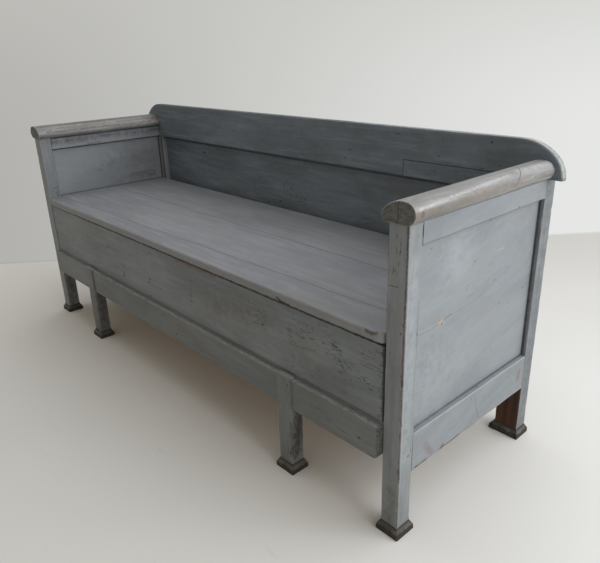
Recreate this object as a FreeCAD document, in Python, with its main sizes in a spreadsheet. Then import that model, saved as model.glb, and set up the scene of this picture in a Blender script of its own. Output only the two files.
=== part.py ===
import FreeCAD, Part
import os
import re
import Sketcher

# An old painted pull-out bench bed of pine.
# Frame: X along the bench, Y from its front to its back, Z up, origin on the floor in the
# middle of the bench's box. Two panelled end frames carry the back, the armrests and the
# fixed half of the slatted bottom. The front, with two legs, slides out as a tray whose
# slats run between the fixed ones. The seat is a loose lid of three boards.

# Driving sizes in millimetres, each written once.
SIZES = {
    # whole bench
    "bench_length": 1800,
    "bench_depth": 562,
    "post_top": 720,
    "seat_top": 490,
    # posts, rails and boards of the end frames
    "front_post_wide": 46,
    "rear_post_wide": 65,
    "post_deep": 44,
    "top_rail_high": 46,
    "bottom_rail_low": 158,
    "bottom_rail_high": 97,
    "end_board_thick": 18,
    "end_board_inset": 14,
    "lower_end_board_high": 229,
    "groove_deep": 10,
    "groove_slack": 1,
    "tenon_long": 28,
    "tenon_thick": 16,
    "tenon_shoulder": 12,
    "fit_gap": 0.2,
    # feet
    "foot_reach": 8,
    "rear_foot_inner_reach": 14,
    "foot_side_high": 9,
    "foot_ramp_high": 17,
    "foot_pin_wide": 20,
    "foot_pin_long": 16,
    # wooden pegs
    "peg_diameter": 8,
    "peg_inset": 14,
    "peg_edge": 9,
    # armrests, rounded on top
    "armrest_wide": 80,
    "armrest_nose": 4,
    "armrest_inner_round": 14,
    "armrest_outer_round": 22,
    "armrest_top_round": 60,
    # crest board with its ears, and the boards under it
    "crest_thick": 22,
    "crest_rise": 88,
    "crest_drop": 45,
    "crest_proud": 5,
    "crest_end_gap": 2,
    "ear_reach": 36,
    "ear_tuck": 13,
    "ear_sink": 32,
    "patch_inset": 49,
    "patch_long": 300,
    "patch_high": 44,
    "back_board_thick": 18,
    "back_board_lap": 24,
    "back_joint_drop": 4,
    "back_rail_thick": 26,
    "back_rail_inset": 8,
    "back_tenon_long": 16,
    "back_tenon_thick": 12,
    # fixed bottom
    "bed_drop": 15,
    "slat_gap": 20,
    "slat_thick": 18,
    "slat_end_gap": 2,
    "bearer_deep": 22,
    "bearer_high": 26,
    "stretcher_deep": 32,
    "stretcher_high": 40,
    "stretcher_gap": 4,
    "stretcher_shoulder": 6,
    "stretcher_tenon_long": 12,
    "runner_rise": 4,
    "runner_high": 28,
    "runner_gap": 1,
    # lid and the cleats under it
    "lid_thick": 24,
    "lid_nose": 7,
    "lid_end_gap": 3,
    "lid_back_gap": 2,
    "lid_corner_round": 20,
    "lid_edge_round": 4,
    "front_seam_left": 51,
    "front_seam_right": 97,
    "back_seam": 288,
    "batten_wide": 60,
    "batten_thick": 20,
    "batten_front_gap": 57,
    "batten_back_gap": 33,
    "batten_inset": 300,
    "cleat_wide": 30,
    "cleat_high": 28,
    "back_cleat_seat": 15,
    "screw_head_diameter": 9,
    "screw_head_high": 3,
    "screw_shank_diameter": 4,
    "screw_bite": 15,
    # pull-out front
    "pull_end_gap": 2,
    "front_board_thick": 22,
    "front_board_inset": 2,
    "front_board_gap": 4,
    "pull_rail_proud": 18,
    "pull_rail_low": 191,
    "pull_rail_high": 89,
    "pull_rail_round": 5,
    "rabbet_deep": 14,
    "leg_wide": 48,
    "leg_deep": 40,
    "left_leg_inset": 359,
    "right_leg_inset": 347,
    # pull-out tray
    "side_thick": 20,
    "side_gap": 5,
    "side_lid_gap": 6,
    "side_back_gap": 4,
    "glide_gap": 0.3,
    "slat_step": 4,
    "notch_gap": 2,
    "tray_back_gap": 10,
    "rear_bar_deep": 28,
    "rear_bar_high": 30,
    "nail_head_diameter": 8,
    "nail_head_high": 2,
    "nail_shank_diameter": 4,
    "nail_long": 60,
}

# Places worked out from the sizes. Names here may use sizes and earlier places.
PLACES = {
    "half": "bench_length / 2",
    "front": "(pull_rail_proud - bench_depth) / 2",
    "back": "front + bench_depth",
    "post_inner": "half - front_post_wide",
    "rear_inner": "half - rear_post_wide",
    "front_post_back": "front + post_deep",
    "rear_post_front": "back - post_deep",
    "foot_high": "foot_side_high + foot_ramp_high",
    "bottom_rail_top": "bottom_rail_low + bottom_rail_high",
    "top_rail_low": "post_top - top_rail_high",
    "end_board_out": "half - end_board_inset",
    "end_board_in": "end_board_out - end_board_thick",
    "end_board_joint": "bottom_rail_top + lower_end_board_high",
    "arm_axis": "half - front_post_wide / 2",
    "tenon_out": "arm_axis + tenon_thick / 2",
    "tenon_in": "arm_axis - tenon_thick / 2",
    "peg_long": "front_post_wide",
    "crest_top": "post_top + crest_rise",
    "crest_low": "post_top - crest_drop",
    "ear_low_round": "crest_rise - ear_tuck",
    "ear_high_round": "crest_rise + ear_sink",
    "crest_front": "rear_post_front - crest_proud",
    "crest_back": "crest_front + crest_thick",
    "crest_half": "rear_inner - crest_end_gap",
    "patch_far": "crest_half - patch_inset",
    "patch_near": "patch_far - patch_long",
    "back_board_front": "crest_back",
    "back_board_back": "back_board_front + back_board_thick",
    "back_board_half": "rear_inner + groove_deep - groove_slack",
    "back_rail_front": "rear_post_front + back_rail_inset",
    "back_rail_middle": "back_rail_front + back_rail_thick / 2",
    "lid_low": "seat_top - lid_thick",
    "back_board_joint": "lid_low - back_joint_drop",
    "cleat_low": "lid_low - cleat_high",
    "lid_front": "front - lid_nose",
    "lid_back": "crest_front - lid_back_gap",
    "lid_half": "post_inner - lid_end_gap",
    "batten_low": "lid_low - batten_thick",
    "batten_place": "half - batten_inset",
    "batten_front": "lid_front + batten_front_gap",
    "batten_back": "lid_back - batten_back_gap",
    "pull_half": "post_inner - pull_end_gap",
    "front_board_front": "front + front_board_inset",
    "front_board_back": "front_board_front + front_board_thick",
    "pull_rail_top": "pull_rail_low + pull_rail_high",
    "front_board_low": "pull_rail_top - rabbet_deep",
    "front_board_top": "lid_low - front_board_gap",
    "pull_rail_front": "front - pull_rail_proud",
    "left_leg_place": "left_leg_inset - half",
    "right_leg_place": "half - right_leg_inset",
    "side_outer": "post_inner - side_gap",
    "side_inner": "side_outer - side_thick",
    "bed_base": "bottom_rail_top - bed_drop",
    "runner_top": "bed_base + runner_rise",
    "side_low": "runner_top + glide_gap",
    "side_top": "cleat_low - side_lid_gap",
    "stretcher_front": "front_board_back + bearer_deep + stretcher_gap",
    "stretcher_back": "stretcher_front + stretcher_deep",
    "stretcher_low": "bed_base - stretcher_high",
    "rear_bearer_front": "back_rail_front - bearer_deep",
    "tray_base": "bed_base - slat_step",
    "tray_back": "rear_bearer_front - tray_back_gap",
}

SLAT_COUNT = 11
SLAT_WIDE = f"(2 * side_inner - {SLAT_COUNT - 1} * slat_gap) / {SLAT_COUNT}"
BATTEN_SIDES = (-1, 0, 1)
ARM_PEG_SHARES = (0.3, 0.75)
SCREW_SHARES = (0.03, 0.22, 0.45, 0.66, 0.92)
NAIL_SHARES = (0.15, 0.52, 0.89)
SIDES = {"left": -1, "right": 1}
# how near two places count as one, as a share of the bench's length
CLOSE_SHARE = 1e-6

document = FreeCAD.newDocument("PullOutBenchBed")
sheet = document.addObject("Spreadsheet::Sheet", "Sizes")
for row, (alias, value) in enumerate(SIZES.items(), start=1):
    sheet.set(f"A{row}", alias)
    sheet.set(f"B{row}", str(value))
    sheet.setAlias(f"B{row}", alias)
document.recompute()

pieces = []


def bound(text):
    """The expression with every place worked out and every size read from the sheet."""
    def swap(match):
        word = match.group(0)
        if word in PLACES:
            return "(" + bound(PLACES[word]) + ")"
        return "Sizes." + word if word in SIZES else word
    return re.sub(r"[a-z_]+", swap, str(text))


def value_of(text):
    """The expression's value now, for the first place of a sketch's points."""
    numbers = {alias: float(getattr(sheet, alias)) for alias in SIZES}
    plain = bound(text).replace("Sizes.", "")
    tokens = re.findall(r"[a-z_]+|[0-9.]+|[-+*/()]", plain)
    return reckon(tokens, numbers)


def reckon(tokens, numbers):
    """Adds up a list of tokens: sums of products of signed values and brackets."""
    total = product(tokens, numbers)
    while tokens and tokens[0] in "+-":
        sign = 1 if tokens.pop(0) == "+" else -1
        total += sign * product(tokens, numbers)
    return total


def product(tokens, numbers):
    result = factor(tokens, numbers)
    while tokens and tokens[0] in "*/":
        if tokens.pop(0) == "*":
            result *= factor(tokens, numbers)
        else:
            result /= factor(tokens, numbers)
    return result


def factor(tokens, numbers):
    token = tokens.pop(0)
    if token == "-":
        return -factor(tokens, numbers)
    if token == "(":
        inner = reckon(tokens, numbers)
        tokens.pop(0)
        return inner
    return numbers[token] if token in numbers else float(token)


def bind(thing, prop, text):
    thing.setExpression(prop, bound(text))


def place(thing, x, y, z):
    for axis, text in zip("xyz", (x, y, z)):
        bind(thing, f"Placement.Base.{axis}", text)


def less(high, low):
    return f"({high}) - ({low})"


def across(side, near, far):
    """The span between two distances from the middle, on the left or on the right."""
    return (near, far) if side > 0 else (f"-({far})", f"-({near})")


def both_ways(far):
    return (f"-({far})", far)


def around(middle, wide):
    return (f"({middle}) - ({wide}) / 2", f"({middle}) + ({wide}) / 2")


def keep(thing, label):
    """Marks an object as one piece of the bench."""
    thing.Label = label
    pieces.append(thing)
    return thing


def block(x, y, z):
    """A box between two places along each axis."""
    box = document.addObject("Part::Box", "Block")
    for prop, span in zip(("Length", "Width", "Height"), (x, y, z)):
        bind(box, prop, less(span[1], span[0]))
    place(box, x[0], y[0], z[0])
    return box


TURNS = {
    "X": FreeCAD.Rotation(FreeCAD.Vector(0, 1, 0), 90),
    "Y": FreeCAD.Rotation(FreeCAD.Vector(1, 0, 0), -90),
    "Z": FreeCAD.Rotation(),
}


def rod(axis, start, diameter, length):
    """A round bar from a point, along X, Y or Z."""
    bar = document.addObject("Part::Cylinder", "Rod")
    bar.Placement = FreeCAD.Placement(FreeCAD.Vector(), TURNS[axis])
    bind(bar, "Radius", f"({diameter}) / 2")
    bind(bar, "Height", length)
    place(bar, *start)
    return bar


def joined(*parts):
    fuse = document.addObject("Part::MultiFuse", "Joined")
    fuse.Shapes = list(parts)
    fuse.Refine = True
    return fuse


def without(base, *tools):
    """The base with every tool taken out of it."""
    cut = document.addObject("Part::Cut", "Cut")
    cut.Base = base
    cut.Tool = tools[0] if len(tools) == 1 else joined(*tools)
    return cut


def group(parts):
    gathered = document.addObject("Part::Compound", "Group")
    gathered.Links = list(parts)
    return gathered


def new_body():
    return document.addObject("PartDesign::Body", "Body")


def new_sketch(body, role, height=None):
    """A sketch on one of the body's own origin planes, or above it."""
    sketch = body.newObject("Sketcher::SketchObject", "Sketch")
    plane = [item for item in body.Origin.OriginFeatures if item.Role == role][0]
    sketch.AttachmentSupport = (plane, [""])
    sketch.MapMode = "FlatFace"
    if height is not None:
        bind(sketch, "AttachmentOffset.Base.z", height)
    return sketch


def pin_point(sketch, curve, end, x, y):
    """Holds one end of a curve, or its centre, at a place given by expressions."""
    for kind, text in (("DistanceX", x), ("DistanceY", y)):
        hold = sketch.addConstraint(Sketcher.Constraint(kind, -1, 1, curve, end, value_of(text)))
        bind(sketch, f"Constraints[{hold}]", text)


def hold_radius(sketch, curve, text):
    hold = sketch.addConstraint(Sketcher.Constraint("Radius", curve, value_of(text)))
    bind(sketch, f"Constraints[{hold}]", text)


def polygon(sketch, corners):
    """A closed outline of straight lines, every corner held by the sizes."""
    spots = [FreeCAD.Vector(value_of(x), value_of(y), 0) for x, y in corners]
    lines = [
        sketch.addGeometry(Part.LineSegment(spot, spots[(i + 1) % len(spots)]), False)
        for i, spot in enumerate(spots)
    ]
    for i, line in enumerate(lines):
        following = lines[(i + 1) % len(lines)]
        sketch.addConstraint(Sketcher.Constraint("Coincident", line, 2, following, 1))
    for line, (x, y) in zip(lines, corners):
        pin_point(sketch, line, 1, x, y)


def pad(body, sketch, length, backwards=False):
    feature = body.newObject("PartDesign::Pad", "Pad")
    feature.Profile = sketch
    feature.Reversed = backwards
    bind(feature, "Length", length)
    body.Tip = feature
    return feature


def rounded(body, radius, wanted):
    """Rounds the edges of the body's last feature whose middle and direction are wanted."""
    document.recompute()
    base = body.Tip
    names = []
    for number, edge in enumerate(base.Shape.Edges, start=1):
        first, last = edge.Vertexes[0].Point, edge.Vertexes[-1].Point
        if wanted((first + last) / 2, last - first):
            names.append(f"Edge{number}")
    fillet = body.newObject("PartDesign::Fillet", "Fillet")
    fillet.Base = (base, names)
    bind(fillet, "Radius", radius)
    body.Tip = fillet


def runs_along(direction, axis):
    """Whether an edge runs along one axis only."""
    parts = [abs(getattr(direction, name)) for name in "xyz"]
    own = parts.pop("xyz".index(axis))
    return own > 0 and max(parts) < own * CLOSE_SHARE


def level_with(place_now, text):
    """Whether a place is the one that the expression gives."""
    return abs(place_now - value_of(text)) < value_of("bench_length") * CLOSE_SHARE


def post_foot(x, y, reach_x):
    """A block under a post: straight sides below, sloping in to the post above."""
    body = new_body()
    post = (x, y)
    wide = (
        (f"({x[0]}) - ({reach_x[0]})", f"({x[1]}) + ({reach_x[1]})"),
        (f"({y[0]}) - foot_reach", f"({y[1]}) + foot_reach"),
    )
    sole = new_sketch(body, "XY_Plane")
    polygon(sole, rectangle(*wide))
    pad(body, sole, "foot_side_high")
    low = new_sketch(body, "XY_Plane", "foot_side_high")
    polygon(low, rectangle(*wide))
    high = new_sketch(body, "XY_Plane", "foot_high")
    polygon(high, rectangle(*post))
    ramp = body.newObject("PartDesign::AdditiveLoft", "Ramp")
    ramp.Profile = low
    ramp.Sections = [high]
    ramp.Ruled = True
    body.Tip = ramp
    return without(body, foot_pin(x, y, "fit_gap"))


def rectangle(x, y):
    return [(x[0], y[0]), (x[1], y[0]), (x[1], y[1]), (x[0], y[1])]


def foot_pin(x, y, gap="0"):
    """The square pin that a post stands in its foot with, or its socket with a gap."""
    wide = f"foot_pin_wide + 2 * ({gap})"
    middle_x = f"(({x[0]}) + ({x[1]})) / 2"
    middle_y = f"(({y[0]}) + ({y[1]})) / 2"
    return block(
        around(middle_x, wide),
        around(middle_y, wide),
        (f"foot_high - foot_pin_long - ({gap})", "foot_high"),
    )


def tenon_heights(low, high, gap="0"):
    return (f"({low}) + tenon_shoulder - ({gap})", f"({high}) - tenon_shoulder + ({gap})")


RAIL_HEIGHTS = {
    "bottom": ("bottom_rail_low", "bottom_rail_top"),
    "top": ("top_rail_low", "post_top"),
}


def frame_pegs(side):
    """Pegs through the posts into the rails' tenons, level with the frame's outer face."""
    start_x = "half - peg_long" if side > 0 else "-half"
    for low, high in RAIL_HEIGHTS.values():
        for y in ("front_post_back - peg_inset", "rear_post_front + peg_inset"):
            start = (start_x, y, f"(({low}) + ({high})) / 2")
            yield rod("X", start, "peg_diameter", "peg_long")


def upright_pegs(side):
    """Pegs that hold the armrest on its rail and post, and the crest's ear on its post."""
    spots = [("arm_axis", "front + peg_edge")]
    for share in ARM_PEG_SHARES:
        spots.append(("arm_axis", f"front_post_back + {share} * (rear_post_front - front_post_back)"))
    spots.append(("rear_inner + groove_deep", "(rear_post_front + crest_back) / 2"))
    for x, y in spots:
        start = (f"{side} * ({x})", y, "post_top - peg_long / 2")
        yield rod("Z", start, "peg_diameter", "peg_long")


def all_pegs():
    rods = [peg for side in SIDES.values() for peg in (*frame_pegs(side), *upright_pegs(side))]
    return keep(group(rods), "wooden_pegs")


def mortises(side, face, direction):
    """Sockets in a post's face for the tenons of both rails."""
    deep = f"(tenon_long + fit_gap) * {direction}"
    y = (f"{face} + {deep}", face) if direction < 0 else (face, f"{face} + {deep}")
    x = across(side, "tenon_in - fit_gap", "tenon_out + fit_gap")
    return [block(x, y, tenon_heights(*heights, "fit_gap")) for heights in RAIL_HEIGHTS.values()]


def panel_groove(side, face, direction):
    """The groove in a post's face for the end boards."""
    y = (f"{face} - groove_deep", face) if direction < 0 else (face, f"{face} + groove_deep")
    z = ("bottom_rail_top - groove_deep", "top_rail_low + groove_deep")
    return block(across(side, "end_board_in", "end_board_out"), y, z)


def front_post(name, side, pegs):
    x = across(side, "post_inner", "half")
    y = ("front", "front_post_back")
    stock = joined(block(x, y, ("foot_high", "post_top")), foot_pin(x, y))
    cuts = [panel_groove(side, "front_post_back", -1), *mortises(side, "front_post_back", -1)]
    keep(without(stock, *cuts, pegs), f"{name}_front_post")
    keep(post_foot(x, y, ("foot_reach", "foot_reach")), f"{name}_front_foot")


def rear_post(name, side, pegs):
    x = across(side, "rear_inner", "half")
    y = ("rear_post_front", "back")
    stock = joined(block(x, y, ("foot_high", "post_top")), foot_pin(x, y))
    back_groove = block(
        across(side, "rear_inner", "rear_inner + groove_deep"),
        ("back_board_front", "back_board_back"),
        ("bottom_rail_top", "crest_low + back_board_lap"),
    )
    back_mortise = block(
        across(side, "rear_inner", "rear_inner + back_tenon_long + fit_gap"),
        around("back_rail_middle", "back_tenon_thick + 2 * fit_gap"),
        tenon_heights(*RAIL_HEIGHTS["bottom"], "fit_gap"),
    )
    cuts = [panel_groove(side, "rear_post_front", 1), *mortises(side, "rear_post_front", 1)]
    keep(without(stock, *cuts, back_groove, back_mortise, pegs), f"{name}_rear_post")
    reach = ("rear_foot_inner_reach", "foot_reach")
    keep(post_foot(x, y, reach if side > 0 else reach[::-1]), f"{name}_rear_foot")


def end_rails(name, side, pegs):
    """The two rails between the posts, grooved for the boards, with a tenon at each end."""
    groove_x = across(side, "end_board_in", "end_board_out")
    y = ("front_post_back", "rear_post_front")
    grooves = {
        "bottom": ("bottom_rail_top - groove_deep", "bottom_rail_top"),
        "top": ("top_rail_low", "top_rail_low + groove_deep"),
    }
    stretcher_socket = block(
        across(side, "post_inner", "post_inner + stretcher_tenon_long + fit_gap"),
        ("stretcher_front + stretcher_shoulder", "stretcher_back - stretcher_shoulder"),
        ("stretcher_low + stretcher_shoulder", "bed_base - 2 * stretcher_shoulder"),
    )
    for level, heights in RAIL_HEIGHTS.items():
        rail = block(across(side, "post_inner", "half"), y, heights)
        tenons = block(
            across(side, "tenon_in", "tenon_out"),
            ("front_post_back - tenon_long", "rear_post_front + tenon_long"),
            tenon_heights(*heights),
        )
        cuts = [block(groove_x, y, grooves[level]), pegs]
        if level == "bottom":
            cuts.append(stretcher_socket)
        keep(without(joined(rail, tenons), *cuts), f"{name}_{level}_rail")


def end_boards(name, side):
    """Two boards on edge, let into the posts and rails."""
    reach = "groove_deep - groove_slack"
    x = across(side, "end_board_in", "end_board_out")
    y = (f"front_post_back - ({reach})", f"rear_post_front + {reach}")
    lower = (f"bottom_rail_top - ({reach})", "end_board_joint")
    upper = ("end_board_joint", f"top_rail_low + {reach}")
    keep(block(x, y, lower), f"{name}_lower_end_board")
    keep(block(x, y, upper), f"{name}_upper_end_board")


def armrest(name, side, pegs):
    """A roll, flat below: a small round inside, a fuller one outside and a flat curve on top.
    The left one is the same roll turned end for end."""
    body = new_body()
    sketch = new_sketch(body, "XZ_Plane")
    inner, outer, crown = (
        value_of(f"armrest_{part}_round") for part in ("inner", "outer", "top")
    )
    half_wide = value_of("armrest_wide / 2")
    centre_in = FreeCAD.Vector(inner - half_wide, inner, 0)
    centre_out = FreeCAD.Vector(half_wide - outer, outer, 0)
    between = centre_out - centre_in
    apart = between.Length
    along = ((crown - inner) ** 2 - (crown - outer) ** 2 + apart ** 2) / (2 * apart)
    down = ((crown - inner) ** 2 - along ** 2) ** 0.5
    unit = between / apart
    centre_top = centre_in + unit * along + FreeCAD.Vector(unit.y, -unit.x, 0) * down
    up_in = centre_in - centre_top
    up_out = centre_out - centre_top
    angle_in = FreeCAD.Vector(1, 0, 0).getAngle(up_in)
    angle_out = FreeCAD.Vector(1, 0, 0).getAngle(up_out)
    quarter = FreeCAD.Vector(1, 0, 0).getAngle(FreeCAD.Vector(0, 1, 0))
    normal = FreeCAD.Vector(0, 0, 1)
    flat = sketch.addGeometry(Part.LineSegment(
        centre_in - FreeCAD.Vector(0, inner, 0), centre_out - FreeCAD.Vector(0, outer, 0)), False)
    arc_out = sketch.addGeometry(Part.ArcOfCircle(
        Part.Circle(centre_out, normal, outer), -quarter, angle_out), False)
    arc_top = sketch.addGeometry(Part.ArcOfCircle(
        Part.Circle(centre_top, normal, crown), angle_out, angle_in), False)
    arc_in = sketch.addGeometry(Part.ArcOfCircle(
        Part.Circle(centre_in, normal, inner), angle_in, 3 * quarter), False)
    curves = (flat, arc_out, arc_top, arc_in)
    for curve, following in zip(curves, curves[1:] + curves[:1]):
        sketch.addConstraint(Sketcher.Constraint("Tangent", curve, 2, following, 1))
    pin_point(sketch, arc_in, 3, "armrest_inner_round - armrest_wide / 2", "armrest_inner_round")
    for curve, part in ((arc_in, "inner"), (arc_out, "outer"), (arc_top, "top")):
        hold_radius(sketch, curve, f"armrest_{part}_round")
    hold = sketch.addConstraint(Sketcher.Constraint("DistanceX", -1, 1, arc_out, 3, centre_out.x))
    bind(sketch, f"Constraints[{hold}]", "armrest_wide / 2 - armrest_outer_round")
    pad(body, sketch, less("crest_front", "front - armrest_nose"), backwards=True)
    if side > 0:
        place(body, "arm_axis", "front - armrest_nose", "post_top")
    else:
        body.Placement = FreeCAD.Placement(FreeCAD.Vector(), FreeCAD.Rotation(normal, 180))
        place(body, "-arm_axis", "crest_front", "post_top")
    keep(without(body, pegs), f"{name}_armrest")


def crest_board(pegs):
    """The board along the top of the back: its ears reach over the posts and round down to
    the armrests' underside. A patch is let into its lower edge."""
    body = new_body()
    sketch = new_sketch(body, "XZ_Plane")
    low_r, high_r = value_of("ear_low_round"), value_of("ear_high_round")
    tip = value_of("half + ear_reach")
    shelf, top = value_of("post_top"), value_of("crest_top")
    low_centre = FreeCAD.Vector(tip - low_r, shelf, 0)
    rise = shelf - (top - high_r)
    high_centre = FreeCAD.Vector(low_centre.x - ((high_r - low_r) ** 2 - rise ** 2) ** 0.5, top - high_r, 0)
    toward = low_centre - high_centre
    bend = FreeCAD.Vector(1, 0, 0).getAngle(toward)
    quarter = FreeCAD.Vector(1, 0, 0).getAngle(FreeCAD.Vector(0, 1, 0))
    normal = FreeCAD.Vector(0, 0, 1)

    def mirrored(spot):
        return FreeCAD.Vector(-spot.x, spot.y, 0)

    inner = value_of("crest_half")
    low = value_of("crest_low")
    corners = [
        FreeCAD.Vector(-tip, shelf, 0), FreeCAD.Vector(-inner, shelf, 0), FreeCAD.Vector(-inner, low, 0),
        FreeCAD.Vector(inner, low, 0), FreeCAD.Vector(inner, shelf, 0), FreeCAD.Vector(tip, shelf, 0),
    ]
    lines = [
        sketch.addGeometry(Part.LineSegment(start, end), False)
        for start, end in zip(corners, corners[1:])
    ]
    right_low = sketch.addGeometry(Part.ArcOfCircle(
        Part.Circle(low_centre, normal, low_r), 0, bend), False)
    right_high = sketch.addGeometry(Part.ArcOfCircle(
        Part.Circle(high_centre, normal, high_r), bend, quarter), False)
    ridge = sketch.addGeometry(Part.LineSegment(
        FreeCAD.Vector(high_centre.x, top, 0), FreeCAD.Vector(-high_centre.x, top, 0)), False)
    left_high = sketch.addGeometry(Part.ArcOfCircle(
        Part.Circle(mirrored(high_centre), normal, high_r), quarter, 2 * quarter - bend), False)
    left_low = sketch.addGeometry(Part.ArcOfCircle(
        Part.Circle(mirrored(low_centre), normal, low_r), 2 * quarter - bend, 2 * quarter), False)
    for line, following in zip(lines, lines[1:] + [right_low]):
        sketch.addConstraint(Sketcher.Constraint("Coincident", line, 2, following, 1))
    sketch.addConstraint(Sketcher.Constraint("Coincident", left_low, 2, lines[0], 1))
    curves = (right_low, right_high, ridge, left_high, left_low)
    for curve, following in zip(curves, curves[1:]):
        sketch.addConstraint(Sketcher.Constraint("Tangent", curve, 2, following, 1))
    held = [
        ("-(half + ear_reach)", "post_top"), ("-(crest_half)", "post_top"), ("-(crest_half)", "crest_low"),
        ("crest_half", "crest_low"), ("crest_half", "post_top"),
    ]
    for line, (x, y) in zip(lines, held):
        pin_point(sketch, line, 1, x, y)
    pin_point(sketch, lines[-1], 2, "half + ear_reach", "post_top")
    for arc, part in ((right_low, "low"), (left_low, "low"), (right_high, "high"), (left_high, "high")):
        hold_radius(sketch, arc, f"ear_{part}_round")
    for arc in (right_low, left_low):
        hold = sketch.addConstraint(Sketcher.Constraint("DistanceY", -1, 1, arc, 3, shelf))
        bind(sketch, f"Constraints[{hold}]", "post_top")
    sketch.addConstraint(Sketcher.Constraint("Horizontal", ridge))
    hold = sketch.addConstraint(Sketcher.Constraint("DistanceY", -1, 1, ridge, 1, top))
    bind(sketch, f"Constraints[{hold}]", "crest_top")
    pad(body, sketch, "crest_thick", backwards=True)
    place(body, "0", "crest_front", "0")
    patch_x = ("patch_near", "patch_far")
    patch_z = ("crest_low", "crest_low + patch_high")
    whole = ("crest_front", "crest_back")
    keep(without(body, block(patch_x, whole, patch_z), pegs), "crest_board")
    keep(block(patch_x, whole, patch_z), "crest_patch")


def back_boards():
    """Two boards in the rear posts' grooves, the upper one lapped behind the crest board, and
    the rail under them."""
    x = both_ways("back_board_half")
    y = ("back_board_front", "back_board_back")
    keep(block(x, y, ("back_board_joint", "crest_low + back_board_lap")), "back_board")
    keep(block(x, y, ("bottom_rail_top", "back_board_joint")), "box_back_board")
    rail = block(
        both_ways("rear_inner"),
        ("back_rail_front", "back_rail_front + back_rail_thick"),
        RAIL_HEIGHTS["bottom"],
    )
    tenons = block(
        both_ways("rear_inner + back_tenon_long"),
        around("back_rail_middle", "back_tenon_thick"),
        tenon_heights(*RAIL_HEIGHTS["bottom"]),
    )
    keep(joined(rail, tenons), "back_rail")


def slat_span(index):
    """Where a slat lies along the bench: the outer ones touch the tray's sides."""
    edge = f"{index} * ({SLAT_WIDE} + slat_gap) - side_inner"
    return (edge, f"{edge} + {SLAT_WIDE}")


def fixed_bottom():
    """Slats nailed on a front stretcher and a rear bearer; the stretcher is notched where the
    tray's slats slide over it."""
    stretcher_y = ("stretcher_front", "stretcher_back")
    stretcher = block(both_ways("post_inner"), stretcher_y, ("stretcher_low", "bed_base"))
    tenons = block(
        both_ways("post_inner + stretcher_tenon_long"),
        ("stretcher_front + stretcher_shoulder", "stretcher_back - stretcher_shoulder"),
        ("stretcher_low + stretcher_shoulder", "bed_base - 2 * stretcher_shoulder"),
    )
    notches = []
    for index in range(0, SLAT_COUNT, 2):
        low, high = slat_span(index)
        notch_x = (f"({low}) - notch_gap", f"({high}) + notch_gap")
        notches.append(block(notch_x, stretcher_y, ("tray_base - glide_gap", "bed_base")))
    keep(without(joined(stretcher, tenons), *notches), "front_stretcher")
    keep(block(
        both_ways("crest_half"),
        ("rear_bearer_front", "back_rail_front"),
        ("bed_base - bearer_high", "bed_base"),
    ), "rear_slat_bearer")
    for number, index in enumerate(range(1, SLAT_COUNT, 2), start=1):
        y = ("stretcher_front", "back_rail_front - slat_end_gap")
        z = ("bed_base", "bed_base + slat_thick")
        keep(block(slat_span(index), y, z), f"fixed_slat_{number}")


def inner_cleats(name, side):
    """The runner that the tray's side slides on, and the cleat under the lid's end."""
    keep(block(
        across(side, "side_inner + runner_gap", "post_inner"),
        ("stretcher_back", "rear_bearer_front - slat_end_gap"),
        ("runner_top - runner_high", "runner_top"),
    ), f"{name}_runner")
    keep(block(
        across(side, "end_board_in - cleat_wide", "end_board_in"),
        ("front_post_back", "lid_back"),
        ("cleat_low", "lid_low"),
    ), f"{name}_lid_cleat")


def lid_screws():
    """Screws up through the battens into the lid's boards, with sunk heads."""
    screws = []
    for side in BATTEN_SIDES:
        for share in SCREW_SHARES:
            x = f"{side} * batten_place"
            y = f"batten_front + {share} * (batten_back - batten_front)"
            head = rod("Z", (x, y, "batten_low"), "screw_head_diameter", "screw_head_high")
            shank = rod("Z", (x, y, "batten_low"), "screw_shank_diameter", "batten_thick + screw_bite")
            screws.append(joined(head, shank))
    return keep(group(screws), "batten_screws")


def lid():
    """Three boards side by side. The front seam runs askew, the front corners are round."""
    screws = lid_screws()
    far, near = "lid_half", "-(lid_half)"
    seams = [
        ("lid_front", "lid_front"),
        ("lid_front + front_seam_left", "lid_front + front_seam_right"),
        ("lid_front + back_seam", "lid_front + back_seam"),
        ("lid_back", "lid_back"),
    ]
    for name, low, high in zip(("front", "middle", "back"), seams, seams[1:]):
        body = new_body()
        sketch = new_sketch(body, "XY_Plane")
        polygon(sketch, [(near, low[0]), (far, low[1]), (far, high[1]), (near, high[0])])
        pad(body, sketch, "lid_thick")
        if name == "front":
            rounded(body, "lid_corner_round", lambda middle, way: runs_along(way, "z")
                    and level_with(middle.y, "lid_front"))
            rounded(body, "lid_edge_round", lambda middle, way: runs_along(way, "x")
                    and level_with(middle.y, "lid_front") and level_with(middle.z, "lid_thick"))
        place(body, "0", "0", "lid_low")
        keep(without(body, screws), f"lid_{name}_board")
    for name, side in zip(("left", "middle", "right"), BATTEN_SIDES):
        batten = block(
            around(f"{side} * batten_place", "batten_wide"),
            ("batten_front", "batten_back"),
            ("batten_low", "lid_low"),
        )
        keep(without(batten, screws), f"lid_{name}_batten")


def tray_nails():
    """Nails through the front board into the ends of the tray's sides."""
    nails = []
    middle = "side_inner + side_thick / 2"
    for side in SIDES.values():
        for share in NAIL_SHARES:
            height = f"front_board_low + {share} * (side_top - front_board_low)"
            start = (f"{side} * ({middle})", "front_board_front", height)
            head = rod("Y", start, "nail_head_diameter", "nail_head_high")
            shank = rod("Y", start, "nail_shank_diameter", "nail_long")
            nails.append(joined(head, shank))
    return keep(group(nails), "pullout_nails")


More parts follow.
